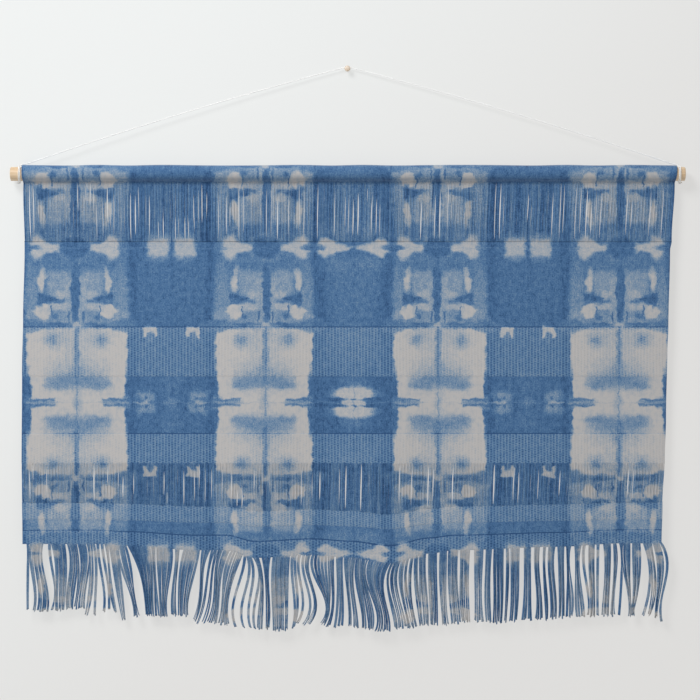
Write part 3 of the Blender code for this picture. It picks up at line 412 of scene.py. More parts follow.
# The dye on the folded packet, charted and painted in this order. A blot has its middle
# and half sizes across and down the packet, the width of its soft edge, its taper (+1 or -1 comes
# to a point on the left or on the right), how much dye it leaves, and how fully it covers.
Blot = namedtuple("Blot", "form across down half_across half_down soft taper dye cover")
SPOT, PATCH = Form.SPOT, Form.PATCH
GROUND_DYE = 0.80
PACKET_BLOTS = (
    # Blue panel: its dark edge, and the paler clouds in its middle
    Blot(PATCH, 70, 141, 8, 150, 6, 0, 0.90, 0.6),
    Blot(SPOT, 30, 60, 26, 40, 30, 0, 0.74, 0.5),
    Blot(SPOT, 8, 110, 20, 40, 24, 0, 0.76, 0.5),
    Blot(SPOT, 4, 248, 14, 20, 14, 0, 0.70, 0.5),
    # Middle panel: the dark stripe at its edge, and its paler clouds
    Blot(PATCH, 266, 160, 13, 150, 8, 0, 0.90, 0.6),
    Blot(SPOT, 318, 70, 32, 50, 26, 0, 0.68, 0.6),
    Blot(SPOT, 300, 28, 30, 12, 14, 0, 0.56, 0.5),
    Blot(SPOT, 322, 150, 26, 50, 24, 0, 0.70, 0.5),
    Blot(SPOT, 296, 236, 14, 26, 16, 0, 0.90, 0.5),
    Blot(SPOT, 332, 246, 22, 10, 12, 0, 0.60, 0.5),
    # Pale column, upper half: the washed ground, paler at its sides and towards its foot
    Blot(PATCH, 168, 72, 88, 80, 6, 0, 0.70, 0.9),
    Blot(SPOT, 92, 96, 15, 56, 14, 0, 0.50, 0.8),
    Blot(SPOT, 246, 96, 13, 56, 14, 0, 0.50, 0.8),
    Blot(SPOT, 92, 128, 16, 16, 12, 0, 0.36, 0.7),
    Blot(SPOT, 246, 130, 13, 15, 10, 0, 0.36, 0.7),
    Blot(PATCH, 124, 132, 36, 7, 5, 0, 0.46, 0.7),
    Blot(PATCH, 214, 132, 34, 7, 5, 0, 0.46, 0.7),
    Blot(SPOT, 172, 2, 33, 27, 6, 0, 0.64, 0.6),
    # Crescents, and the speckled washes that run from them down beside the bar
    Blot(PATCH, 143, 64, 20, 22, 9, 0, 0.40, 0.9),
    Blot(PATCH, 201, 64, 20, 22, 9, 0, 0.40, 0.9),
    Blot(PATCH, 160, 96, 7, 42, 5, 0, 0.34, 0.9),
    Blot(PATCH, 185, 96, 6, 42, 5, 0, 0.34, 0.9),
    Blot(SPOT, 146, 86, 11, 8, 6, 0, 0.16, 0.8),
    Blot(SPOT, 198, 86, 11, 8, 6, 0, 0.16, 0.8),
    Blot(SPOT, 117, 48, 5, 13, 4, 0, 0.16, 0.8),
    Blot(SPOT, 114, 66, 6.5, 15, 4, 0, 0.08, 0.95),
    Blot(SPOT, 228, 48, 6, 12, 4, 0, 0.18, 0.8),
    Blot(SPOT, 231, 63, 6, 16, 4, 0, 0.08, 0.95),
    # Fish-shaped blobs and the bands that join them inwards
    Blot(PATCH, 110, 115, 14, 12, 4, 1, 0.06, 1.0),
    Blot(SPOT, 115, 115, 14, 14, 4, 0, 0.06, 1.0),
    Blot(PATCH, 233, 116, 14, 12, 4, -1, 0.06, 1.0),
    Blot(SPOT, 228, 116, 14, 14, 4, 0, 0.06, 1.0),
    Blot(PATCH, 138, 108, 17, 7, 5, 0, 0.18, 0.9),
    Blot(PATCH, 203, 108, 16, 7, 5, 0, 0.18, 0.9),
    Blot(PATCH, 143, 124, 17, 9, 7, 0, 0.48, 0.8),
    Blot(PATCH, 201, 124, 16, 9, 7, 0, 0.48, 0.8),
    # Dark wedges between crescents and blobs, hairlines and small blots
    Blot(PATCH, 124, 93, 19, 11, 3, -1, 0.84, 1.0),
    Blot(PATCH, 219, 93, 19, 11, 3, 1, 0.84, 1.0),
    Blot(SPOT, 233, 100, 5, 9, 4, 0, 0.80, 0.8),
    Blot(SPOT, 113, 98, 8, 5, 4, 0, 0.66, 0.7),
    Blot(PATCH, 128.5, 115, 1.2, 9, 1.4, 0, 0.88, 0.8),
    Blot(PATCH, 213, 113, 1.2, 9, 1.4, 0, 0.88, 0.8),
    Blot(SPOT, 133, 127, 6, 4.5, 4, 0, 0.84, 0.8),
    Blot(SPOT, 208, 125, 6, 4.5, 4, 0, 0.84, 0.8),
    Blot(PATCH, 158, 126, 1.7, 11, 2, 0, 0.88, 0.8),
    Blot(PATCH, 184, 126, 1.7, 11, 2, 0, 0.88, 0.8),
    # The bar down the middle, the strokes at its foot, and the spot between them
    Blot(SPOT, 173, 80, 8, 56, 3, 0, 0.80, 1.0),
    Blot(SPOT, 172, 114, 4.5, 24, 3, 0, 0.82, 1.0),
    Blot(SPOT, 140, 140, 22, 4.0, 2.5, 0, 0.92, 1.0),
    Blot(SPOT, 199, 140, 22, 4.0, 2.5, 0, 0.92, 1.0),
    Blot(PATCH, 98, 137, 24, 1.4, 2, 0, 0.70, 0.7),
    Blot(PATCH, 242, 137, 20, 1.4, 2, 0, 0.70, 0.7),
    Blot(SPOT, 171, 142, 8, 6.5, 3, 0, 0.14, 0.95),
    # At the upper level fold: round blot, arrows, leaves with their notch, and the squares
    Blot(SPOT, 172, 0, 25, 19, 5, 0, 0.83, 1.0),
    Blot(SPOT, 106, 0, 14, 21, 7, 0, 0.14, 1.0),
    Blot(PATCH, 128, 0, 20, 16, 6, -1, 0.14, 1.0),
    Blot(PATCH, 134, 0, 12, 6, 5, 0, 0.14, 1.0),
    Blot(SPOT, 237, 0, 13, 21, 7, 0, 0.14, 1.0),
    Blot(PATCH, 218, 0, 18, 15, 6, 1, 0.14, 1.0),
    Blot(PATCH, 210, 0, 10, 6, 5, 0, 0.14, 1.0),
    Blot(PATCH, 92, 2, 6, 2.0, 3, 0, 0.70, 0.7),
    Blot(SPOT, 279, 0, 15, 16, 7, 0, 0.12, 1.0),
    Blot(PATCH, 303, 0, 28, 17, 6, -1, 0.12, 1.0),
    Blot(SPOT, 257, 0, 22, 5.0, 3, 0, 0.82, 0.9),
    Blot(PATCH, 24, 0, 19, 17, 7, 0, 0.16, 0.95),
    Blot(SPOT, 24, 20, 17, 6, 6, 0, 0.50, 0.5),
    # Pale panel, with its arched top
    Blot(PATCH, 168, 282, 88, 134, 4, 0, 0.02, 1.0),
    Blot(SPOT, 80, 142, 26, 13, 5, 0, 0.72, 0.85),
    Blot(SPOT, 256, 142, 26, 13, 5, 0, 0.72, 0.85),
    Blot(SPOT, 254, 282, 6.5, 62, 3, 0, 0.82, 1.0),
    Blot(SPOT, 80, 282, 4.5, 62, 3, 0, 0.82, 1.0),
    # Pale panel: the hazes round the axis line, and the two fuzzy eyes
    Blot(SPOT, 170, 162, 52, 22, 26, 0, 0.30, 0.8),
    Blot(SPOT, 170, 200, 30, 44, 30, 0, 0.20, 0.8),
    Blot(SPOT, 127, 169, 15, 14, 12, 0, 0.44, 0.8),
    Blot(SPOT, 126, 168, 7, 7, 6, 0, 0.70, 0.7),
    Blot(SPOT, 211, 167, 15, 14, 12, 0, 0.44, 0.8),
    Blot(SPOT, 212, 167, 7, 7, 6, 0, 0.70, 0.7),
    # Pale panel: the wide wash below, deepest near its foot, and the axis line
    Blot(PATCH, 167, 232, 55, 26, 24, 0, 0.26, 0.8),
    Blot(SPOT, 168, 238, 48, 20, 12, 0, 0.42, 0.8),
    Blot(PATCH, 127, 247, 17, 11, 8, 0, 0.42, 0.8),
    Blot(PATCH, 207, 247, 17, 11, 8, 0, 0.42, 0.8),
    Blot(SPOT, 168, 240, 36, 9, 8, 0, 0.60, 0.8),
    Blot(SPOT, 132, 250, 22, 6, 6, 0, 0.60, 0.7),
    Blot(SPOT, 202, 250, 22, 6, 6, 0, 0.60, 0.7),
    Blot(SPOT, 169, 225, 12, 22, 12, 0, 0.54, 0.7),
    Blot(PATCH, 170.5, 194, 5.2, 46, 4, 0, 0.58, 0.8),
    Blot(PATCH, 170.5, 196, 3.0, 52, 3, 0, 0.74, 0.8),
    Blot(SPOT, 169, 282, 8, 16, 8, 0, 0.36, 0.7),
    Blot(PATCH, 170.5, 250, 1.2, 36, 2, 0, 0.58, 0.7),
    # At the lower level fold: tapering streaks from both sides, with a paler line between them
    Blot(PATCH, 103, 282, 27, 12, 6, -1, 0.56, 0.9),
    Blot(PATCH, 100, 277, 25, 2.2, 3, 0, 0.78, 0.8),
    Blot(PATCH, 99, 282, 22, 1.6, 2, 0, 0.44, 0.6),
    Blot(PATCH, 228, 282, 28, 11, 6, 1, 0.56, 0.9),
    Blot(PATCH, 232, 277, 26, 2.2, 3, 0, 0.78, 0.8),
    Blot(PATCH, 236, 282, 22, 1.6, 2, 0, 0.44, 0.6),
    # Blue panel: the crowns with their arch, and the faint stars at the lower level fold
    Blot(PATCH, 39, 154, 12, 10, 3, 0, 0.14, 1.0),
    Blot(SPOT, 39, 163, 6.5, 10, 3, 0, 0.72, 1.0),
    Blot(SPOT, 43, 272, 12, 10, 8, 0, 0.40, 0.7),
    Blot(SPOT, 62, 268, 6, 10, 7, 0, 0.58, 0.6),
    Blot(PATCH, 56, 282, 14, 3.5, 3, -1, 0.24, 0.9),
    Blot(SPOT, 54, 268, 5, 6, 5, 0, 0.42, 0.7),
    Blot(SPOT, 45, 274, 2.5, 3, 2, 0, 0.88, 0.8),
    Blot(PATCH, 24.5, 282, 1.6, 17, 2, 0, 0.92, 0.7),
    Blot(SPOT, 2, 282, 10, 9, 7, 0, 0.56, 0.7),
    # Middle panel: the stacked bars at the lower level fold, parted by two dark streaks
    Blot(PATCH, 332, 281, 24, 6, 4, 0, 0.12, 1.0),
    Blot(SPOT, 332, 266, 43, 13, 6, 0, 0.10, 1.0),
    Blot(SPOT, 296, 276, 22, 3.4, 2.5, 0, 0.92, 0.9),
    Blot(SPOT, 332, 275.5, 5, 2, 2, 0, 0.92, 0.8),
    Blot(SPOT, 288, 266, 9, 15, 8, 0, 0.82, 0.6),
    # Fine dark lines where the packet was creased hard
    Blot(PATCH, 166, 282, 170, 0.5, 1.2, 0, 0.42, 0.4),
    Blot(PATCH, 166, 0, 170, 0.5, 1.2, 0, 0.42, 0.4),
    Blot(PATCH, 261, 141, 0.8, 150, 1.4, 0, 0.95, 0.6),
    Blot(PATCH, 332, 150, 0.8, 150, 1.4, 0, 0.92, 0.35),
    Blot(PATCH, 0, 141, 1.0, 150, 2.5, 0, 0.90, 0.4),
)


def eased(at: np.ndarray, rows: tuple) -> np.ndarray:
    """Reads a two-column table at many places, with a soft step from each row to the next.

    The step is s * s * (3 - 2 s), where s is the share of the way between two rows.

    Args:
        at: The places, in metres.
        rows: The table, in millimetres, sorted by its first column.

    Returns:
        The table's values there, in metres.
    """
    places, values = np.array(rows, float).T * MM
    at = np.clip(at, places[0], places[-1])
    row = np.clip(np.searchsorted(places, at, side="right") - 1, 0, len(places) - 2)
    share = (at - places[row]) / (places[row + 1] - places[row])
    share = share * share * (3.0 - 2.0 * share)
    return values[row] + (values[row + 1] - values[row]) * share


def cloth_points(share: np.ndarray, level: np.ndarray) -> np.ndarray:
    """Gives points of the hanging cloth's middle surface.

    X runs evenly from the left edge to the right one. The folds swell in proportion to the way
    down, and the hem's sag is shared out by the bands.

    Args:
        share: 0 at the left edge, 1 at the right one.
        level: The height that a point would have if nothing sagged, in metres.

    Returns:
        The points, with X, Y and Z along the last axis.
    """
    share, level = np.broadcast_arrays(share, level)
    left, right = eased(level, LEFT_EDGE), eased(level, RIGHT_EDGE)
    x = left + share * (right - left)
    down = np.clip((CLOTH_TOP - level) / (CLOTH_TOP - CLOTH_FOOT), 0.0, 1.0)
    swell = down * eased(x, UPRIGHT_FOLDS) + eased(level, LEVEL_CREASES)
    sag = np.interp(-level, -BAND_LEVELS, BAND_SAGS) * eased(x, HEM_SAG)
    return np.stack([x, ROD_AXIS_Y - swell, level - sag], axis=-1)


def band_span(first: str, last: str) -> tuple[float, float]:
    """The levels of the first band's top and the last band's foot."""
    top = BAND_LEVELS[BAND_NAMES.index(first)]
    return float(top), float(BAND_LEVELS[BAND_NAMES.index(last) + 1])


def grid_quads(rows: int, columns: int, first: int = 0, closed: bool = False) -> np.ndarray:
    """Numbers the corners of a grid's faces.

    Args:
        rows: Points along the first parameter.
        columns: Points along the second parameter.
        first: The number of the grid's first point.
        closed: Whether the last column joins the first one, as round a tube.

    Returns:
        Four corners for each face.
    """
    near = np.arange(columns if closed else columns - 1)
    far = (near + 1) % columns
    start = first + np.arange(rows - 1)[:, None] * columns
    corners = (start + near, start + columns + near, start + columns + far, start + far)
    return np.stack(corners, axis=-1).reshape(-1, 4)


@dataclass
class Surface:
    """Points, faces and coordinates of one piece before it becomes a mesh.

    Attributes:
        points: A point for each vertex.
        quads: Four corners for each face.
        weave: Metres across and along the yarn or the cloth, for each vertex.
        tone: How far each vertex's yarn is darker (+1) or paler (-1) than its neighbours.
    """

    points: np.ndarray
    quads: np.ndarray
    weave: np.ndarray
    tone: np.ndarray

    @staticmethod
    def joined(parts: list["Surface"]) -> "Surface":
        """Joins several surfaces into one, with their points numbered on."""
        starts = np.cumsum([0] + [len(part.points) for part in parts[:-1]])
        return Surface(
            np.concatenate([part.points for part in parts]),
            np.concatenate([part.quads + start for part, start in zip(parts, starts)]),
            np.concatenate([part.weave for part in parts]),
            np.concatenate([part.tone for part in parts]),
        )

    @staticmethod
    def of_grid(
        points: np.ndarray, weave: np.ndarray, closed: bool = False, flip: bool = False
    ) -> "Surface":
        """Makes a surface of a grid of points.

        Args:
            points: The points (rows, columns, 3).
            weave: Their weave coordinates (rows, columns, 2).
            closed: Whether the last column joins the first one.
            flip: Whether the faces look the other way.

        Returns:
            The surface.
        """
        rows, columns = points.shape[:2]
        quads = grid_quads(rows, columns, closed=closed)
        return Surface(
            points.reshape(-1, 3),
            quads[:, ::-1] if flip else quads,
            weave.reshape(-1, 2),
            np.zeros(rows * columns),
        )

    def piece(self, name: str, material: bpy.types.Material) -> bpy.types.Object:
        """Puts the surface in the scene as one smooth mesh object with its finish.

        Points at the same place are merged, so that poles and seams are closed.

        Args:
            name: The piece's name.
            material: The piece's finish.

        Returns:
            The new object, which stands at the origin.
        """
        mesh = bpy.data.meshes.new(name)
        mesh.vertices.add(len(self.points))
        mesh.vertices.foreach_set("co", self.points.astype(np.float32).ravel())
        corner = self.quads.ravel()
        mesh.loops.add(len(corner))
        mesh.loops.foreach_set("vertex_index", corner.astype(np.int32))
        mesh.polygons.add(len(self.quads))
        mesh.polygons.foreach_set("loop_start", np.arange(0, len(corner), 4, dtype=np.int32))
        mesh.update(calc_edges=True)
        layer = mesh.uv_layers.new(name="weave")
        layer.data.foreach_set("uv", self.weave[corner].astype(np.float32).ravel())
        tone = mesh.attributes.new("tone", "FLOAT", "POINT")
        tone.data.foreach_set("value", self.tone.astype(np.float32))
        merged = bmesh.new()
        merged.from_mesh(mesh)
        bmesh.ops.remove_doubles(merged, verts=merged.verts[:], dist=MERGE_DISTANCE)
        merged.to_mesh(mesh)
        merged.free()
        mesh.shade_smooth()
        mesh.materials.append(material)
        piece = bpy.data.objects.new(name, mesh)
        bpy.context.scene.collection.objects.link(piece)
        log.info("%s: %d faces", name, len(mesh.polygons))
        return piece


def yarns(
    lines: np.ndarray, half_wide: np.ndarray, half_deep: np.ndarray, sides: int, tone: np.ndarray
) -> Surface:
    """Carries an oval profile down many nearly upright lines at once.

    A ring's point is the line's point + half_wide * cos a across + half_deep * sin a in depth.
    Each yarn is closed by drawing its first and last rings in to a point.

    Args:
        lines: The middle lines (yarns, steps, 3).
        half_wide: Half the yarn's width at each step (yarns, steps).
        half_deep: Half its depth at each step (yarns, steps).
        sides: Points in each ring.
        tone: Each yarn's tone.

    Returns:
        The yarns as one surface.
    """
    count, steps = lines.shape[:2]
    angle = np.arange(sides) / sides * FULL_TURN
    closing = np.ones(steps + 2)
    closing[[0, -1]] = 0.0
    lines = np.concatenate([lines[:, :1], lines, lines[:, -1:]], axis=1)
    wide = np.concatenate([half_wide[:, :1], half_wide, half_wide[:, -1:]], axis=1) * closing
    deep = np.concatenate([half_deep[:, :1], half_deep, half_deep[:, -1:]], axis=1) * closing
    x = lines[..., 0, None] + wide[..., None] * np.cos(angle)
    y = lines[..., 1, None] + deep[..., None] * np.sin(angle)
    z = np.broadcast_to(lines[..., 2, None], x.shape)
    points = np.stack([x, y, z], axis=-1)
    along = np.linalg.norm(np.diff(lines, axis=1, prepend=lines[:, :1]), axis=-1).cumsum(axis=1)
    around = np.broadcast_to(angle * half_wide.mean(), x.shape)
    weave = np.stack([around, np.broadcast_to(along[..., None], x.shape)], axis=-1)
    rings = steps + 2
    quads = grid_quads(rings, sides, closed=True)
    starts = np.arange(count)[:, None, None] * (rings * sides)
    return Surface(
        points.reshape(-1, 3),
        (quads[None] + starts).reshape(-1, 4),
        weave.reshape(-1, 2),
        np.repeat(tone, rings * sides),
    )


def swept(line: np.ndarray, outward: np.ndarray, radius: np.ndarray) -> Surface:
    """Carries a ring of radii along one line.

    Each ring lies across the line's direction t. Its first axis is the outward direction made
    square to t, its second is that x t, and the point at angle a lies at the radius given for it.

    Args:
        line: The middle line (steps, 3).
        outward: A direction for each step that isn't the line's own.
        radius: The radius at each step and angle (steps, sides).

    Returns:
        The tube, its ends drawn in to a point.
    """
    ahead = np.gradient(line, axis=0)
    ahead /= np.linalg.norm(ahead, axis=1, keepdims=True)
    first = outward - (outward * ahead).sum(axis=1, keepdims=True) * ahead
    first /= np.linalg.norm(first, axis=1, keepdims=True)
    second = np.cross(first, ahead)
    sides = radius.shape[1]
    angle = np.arange(sides) / sides * FULL_TURN
    ring = first[:, None] * np.cos(angle)[:, None] + second[:, None] * np.sin(angle)[:, None]
    radius = radius.copy()
    radius[[0, -1]] = 0.0
    points = line[:, None] + ring * radius[..., None]
    along = np.linalg.norm(np.diff(line, axis=0, prepend=line[:1]), axis=1).cumsum()
    around = np.broadcast_to(angle * radius.max(), radius.shape)
    weave = np.stack([around, np.broadcast_to(along[:, None], radius.shape)], axis=-1)
    return Surface.of_grid(points, weave, closed=True)


def smooth_through(points: np.ndarray, step: float) -> np.ndarray:
    """Reads the smooth curve through the given points, about a step apart.

    Between two points it is the cubic whose slope at each is half the way between that point's
    two neighbours.

    Args:
        points: The points, in order.
        step: The distance between the points that are read.

    Returns:
        The curve's points, with the given ones among them.
    """
    ends = (2 * points[:1] - points[1:2], points, 2 * points[-1:] - points[-2:-1])
    points = np.concatenate(ends)
    out = []
    for before, here, there, after in zip(points, points[1:], points[2:], points[3:]):
        pieces = max(1, round(float(np.linalg.norm(there - here)) / step))
        t = (np.arange(pieces) / pieces)[:, None]
        bend = 2 * before - 5 * here + 4 * there - after
        twist = 3 * here - before - 3 * there + after
        out.append(0.5 * (2 * here + (there - before) * t + bend * t**2 + twist * t**3))
    return np.concatenate([*out, points[-2:-1]])


def place(piece: bpy.types.Object, slot: str, *nodes: str) -> bpy.types.Object:
    """Sets a piece on the hanging's one body.

    Args:
        piece: The finished piece.
        slot: The name of a material slot in the record; not used.
        nodes: The plain solids that it stands for.

    Returns:
        The same piece.
    """
    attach(piece, BODY)
    if nodes:
        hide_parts(*nodes)
    return piece


@dataclass
class WovenCloth:
    """The cloth itself: the sleeve round the rod and the woven bands, as one thin sheet."""

    flat_width: float = 1.19
    flat_length: float = 0.76
    sleeve_radius: float = 14.7 * MM
    sleeve_lift: float = 1.3 * MM
    sleeve_wave: float = 0.55 * MM
    sleeve_steps: int = 44
    sleeve_foot: float = 0.9 * MM
    left_bulge: float = 1.2 * MM
    right_bulge: float = 2.8 * MM
    column_width: float = 5.0 * MM
    row_height: float = 4.0 * MM
    edge_roll: float = 0.7 * MM
    hem_turn: float = 9.0 * MM
    pucker_depth: float = 0.45 * MM
    pucker_width: float = 21.0 * MM
    pucker_reach: float = 16.0 * MM
    crease_depth: float = 0.55 * MM
    crease_reach: float = 3.5 * MM

    def relief(self, x: np.ndarray, z: np.ndarray) -> np.ndarray:
        """How far fine folds bring the cloth forward.

        Each dye fold leaves a ridge or a trough, depth * exp(-distance / reach), by turns. Below
        each seam the cloth puckers, depth * sin(x / width) * exp(-distance / reach).

        Args:
            x: X of the points.
            z: Z of the points.

        Returns:
            The distance towards -Y, in metres.
        """
        out = np.zeros_like(x)
        for k, axis in enumerate(UPRIGHT_AXES):
            away = np.abs(x - axis.place_mm * MM)
            out += (-1) ** k * self.crease_depth * np.exp(-away / self.crease_reach)
        for k, axis in enumerate(LEVEL_AXES):
            away = np.abs(-z - axis.place_mm * MM)
            out += (-1) ** k * self.crease_depth * np.exp(-away / self.crease_reach)
        waves = np.sin(FULL_TURN * x / self.pucker_width + 2.2 * np.sin(FULL_TURN * x / 0.23))
        for level in BAND_LEVELS[1:]:
            away = np.abs(z - level)
            out += self.pucker_depth * waves * np.exp(-away / self.pucker_reach) / 2.0
        return out

    def front_point(self, share: np.ndarray, level: np.ndarray) -> np.ndarray:
        """Points of the sheet with its fine folds: the middle surface moved by the relief."""
        points = cloth_points(share, level)
        points[..., 1] -= self.relief(points[..., 0], points[..., 2])
        return points

    def columns(self) -> tuple[np.ndarray, np.ndarray, np.ndarray]:
        """Shares across the sheet, and how its two rolled edges move aside and back."""
        count = round(self.flat_width / self.column_width)
        share = np.concatenate([np.zeros(3), np.linspace(0.0, 1.0, count + 1), np.ones(3)])
        turn = np.zeros(len(share))
        turn[:3] = -np.pi * np.array([1.0, 2 / 3, 1 / 3])
        turn[-3:] = np.pi * np.array([1 / 3, 2 / 3, 1.0])
        aside = self.edge_roll * np.sin(turn)
        back = self.edge_roll * (1.0 - np.cos(turn))
        return share, aside, back

    def sheet(self, first: str, last: str) -> Surface:
        """Weaves one stretch of bands as a grid that follows the hanging cloth.

        Args:
            first: The stretch's first band.
            last: Its last band; the hem ends in a turned edge.

        Returns:
            The stretch's surface.
        """
        top, foot = band_span(first, last)
        share, aside, back = self.columns()
        rows = round((top - foot) / self.row_height)
        level = np.linspace(top, foot, rows + 1)[:, None]
        points = self.front_point(share[None], level)
        points[..., 0] += aside
        points[..., 1] += back
        if last == BAND_NAMES[-1]:
            turn = np.linspace(0.0, np.pi, 5)[1:, None, None]
            sink = np.concatenate([np.zeros_like(turn), 1.0 - np.cos(turn), -np.sin(turn)], axis=-1)
            rolled = points[-1:] + self.edge_roll * sink
            tucked = rolled[-1:] + np.array([0.0, 0.0, self.hem_turn])
            points = np.concatenate([points, rolled, tucked])
            level = np.concatenate([level[:, 0], [foot] * len(rolled), [foot + self.hem_turn]])[:, None]
        u = np.broadcast_to(points[..., 0], points.shape[:2])
        v = np.broadcast_to(-level, points.shape[:2])
        return Surface.of_grid(points, np.stack([u, v], axis=-1))

    def sleeve(self) -> Surface:
        """Rolls the cloth's top round the rod and sews it shut.

        A point at turn t lies at angle 2 pi t from the foot, by way of the front. Both ends
        bulge out by sin(pi t), and the ring is drawn in to the seam over its last tenth.

        Returns:
            The sleeve's surface.
        """
        share, aside, back = self.columns()
        turn = np.linspace(0.0, 1.0, self.sleeve_steps + 1)[:, None]
        swell = np.sin(np.pi * turn)
        left = eased(np.array(CLOTH_TOP), LEFT_EDGE) - self.left_bulge * swell
        right = eased(np.array(CLOTH_TOP), RIGHT_EDGE) + self.right_bulge * swell
        x = left + share * (right - left) + aside
        waves = np.sin(FULL_TURN * x / self.pucker_width + 2.2 * np.sin(FULL_TURN * x / 0.23))
        near_seam = np.exp(-np.minimum(turn, 1.0 - turn) * 14.0)
        radius = self.sleeve_radius - back + 0.5 * self.pucker_depth * waves * near_seam
        slow = np.sin(FULL_TURN * x / 0.17 + 1.4 * np.sin(FULL_TURN * x / 0.43))
        radius = radius + self.sleeve_wave * slow * swell**2
        angle = FULL_TURN * turn
        drawn = np.clip(np.minimum(turn, 1.0 - turn) / 0.1, 0.0, 1.0)
        y = ROD_AXIS_Y - radius * np.sin(angle) * (0.35 + 0.65 * drawn)
        z = ROD_AXIS_Z + self.sleeve_lift - radius * np.cos(angle)
        z = z - self.sleeve_foot * (1.0 - drawn)
        v = np.broadcast_to(turn * FULL_TURN * self.sleeve_radius, x.shape)
        points, weave = np.stack([x, y, z], axis=-1), np.stack([x, v], axis=-1)
        return Surface.of_grid(points, weave, flip=True)

    def seam(self) -> Surface:
        """Folds the seam allowance under the sleeve: a narrow double lip, crowned in front."""
        share, aside, back = self.columns()
        turn = np.linspace(0.0, FULL_TURN, 13)[:, None]
        middle = cloth_points(share[None], np.array([[CLOTH_TOP]]))
        x = middle[..., 0] + aside + 0.0 * turn
        waves = 1.0 + 0.15 * np.sin(FULL_TURN * x / self.pucker_width)
        y = middle[..., 1] - 1.15 * MM * waves * np.sin(turn)
        z = middle[..., 2] + 1.7 * MM - 1.5 * MM * np.cos(turn)
        v = np.broadcast_to(turn * MM, x.shape)
        points, weave = np.stack([x, y, z], axis=-1), np.stack([x, v], axis=-1)
        return Surface.of_grid(points, weave, flip=True)

    def build(self, material: bpy.types.Material) -> bpy.types.Object:
        """Builds the sheet with its sleeve, and gives the piece."""
        surface = Surface.joined(
            [
                self.sleeve(),
                self.seam(),
                self.sheet("plain_upper", "textured_middle"),
                self.sheet("textured_lower", "hem"),
            ]
        )
        return place(surface.piece("woven_cloth", material), "dyed_cotton", "cloth")


@dataclass
class TexturedBand:
    """A band in thick chain-like weave, which stands proud of the ground cloth."""

    name: str
    cloth: WovenCloth
    chain_width: float = 5.7 * MM
    stitch_height: float = 4.4 * MM
    ground_lift: float = 0.25 * MM
    chain_lift: float = 0.42 * MM
    border: float = 1.6 * MM

    def chain_height(self, u: np.ndarray, v: np.ndarray) -> np.ndarray:
        """The height of the chains, from 0 in a gap to 1 on a crown.

        Between two chains there is a groove, cos squared of the way across; it is deepest at
        the dark gaps, which lie half a stitch higher in every second groove.

        Args:
            u: Distance across the cloth.
            v: Distance down the cloth.

        Returns:
            The share of the chains' height.
        """
        across = u / self.chain_width
        groove = np.round(across)
        near = np.cos(np.pi * (across - groove)) ** 2
        stitch = 0.5 + 0.5 * np.cos(FULL_TURN * (v / self.stitch_height + 0.5 * (groove % 2)))
        return 1.0 - near * (0.2 + 0.8 * stitch)

    def build(self, material: bpy.types.Material) -> bpy.types.Object:
        """Builds the band as a fine grid in front of the ground cloth, and gives the piece."""
        top, foot = band_span(self.name, self.name)
        columns = round(self.cloth.flat_width / self.chain_width * 4)
        rows = round((top - foot) / self.stitch_height * 4)
        share = np.linspace(0.0, 1.0, columns + 1)[None]
        level = np.linspace(top, foot, rows + 1)[:, None]
        points = self.cloth.front_point(share, level)
        u, v = np.broadcast_arrays(points[..., 0], -level)
        rim = np.minimum(top - level, level - foot)
        lift = self.ground_lift + self.chain_lift * self.chain_height(u, v)
        points[..., 1] -= lift * np.clip(rim / self.border, 0.0, 1.0) ** 0.5
        surface = Surface.of_grid(points, np.stack([u, v], axis=-1))
        return place(surface.piece(f"{self.name}_weave", material), "dyed_cotton")


@dataclass
class WarpEnds:
    """A band of bare warp ends, which stand apart in narrow gaps."""

    name: str
    gaps: tuple
    ends: int = 420
    steps: int = 12
    sides: int = 6
    tuck: float = 1.5 * MM
    reach_up: float = 0.0
    half_depth: float = 0.8 * MM
    layer_shift: float = 0.45 * MM
    reach: float = 9.0 * MM
    gap_share: float = 0.9
    gap_extra: float = 0.2
    seed: int = 7

    def build(self, material: bpy.types.Material) -> bpy.types.Object:
        """Strings the ends between the bands above and below, and gives the piece.

        At each gap the ends on its left move left and those on its right move right, by half of
        (gap_share * width + gap_extra) * sin(pi * height share) ** 0.6 * exp(-distance / reach).

        Args:
            material: The ends' finish.

        Returns:
            The piece.
        """
        top, foot = band_span(self.name, self.name)
        draw = np.random.default_rng(self.seed)
        share = ((np.arange(self.ends) + 0.5) / self.ends)[:, None]
        along = 0.5 - 0.5 * np.cos(np.pi * np.linspace(0.0, 1.0, self.steps))[None]
        start = top + self.tuck + self.reach_up
        level = start + (foot - self.tuck - start) * along
        lines = cloth_points(share, level)
        x = lines[..., 0].copy()
        for gap in self.gaps:
            open_share = np.clip((along - gap.opens) / (gap.closes - gap.opens), 0.0, 1.0)
            lens = np.sin(np.pi * open_share) ** 0.6
            away = x - gap.x_mm * MM
            side = np.where(away.mean(axis=1, keepdims=True) < 0.0, -1.0, 1.0)
            push = (self.gap_share * gap.width_mm + self.gap_extra) * MM / 2.0 * lens
            push = push * np.exp(-np.abs(away) / self.reach)
            lines[..., 0] += side * push
        wander = draw.uniform(0.0, FULL_TURN, (2, self.ends, 1))
        lines[..., 0] += 0.22 * MM * np.sin(wander[0] + 5.0 * along) * np.sin(np.pi * along)
        layer = np.where(np.arange(self.ends) % 2, -1.0, 1.0)[:, None] * self.layer_shift
        lines[..., 1] += layer * np.sin(np.pi * along) + 0.2 * MM * np.sin(wander[1] + 4.0 * along)
        pitch = (lines[-1, 0, 0] - lines[0, 0, 0]) / self.ends
        stout = draw.uniform(1.0, 1.16, (self.ends, 1))
        half_wide = pitch / 2.0 * stout * np.ones_like(along)
        half_deep = np.full_like(half_wide, self.half_depth)
        tone = draw.uniform(-1.0, 1.0, self.ends)
        surface = yarns(lines, half_wide, half_deep, self.sides, tone)
        return place(surface.piece(f"{self.name}_ends", material), "dyed_cotton")


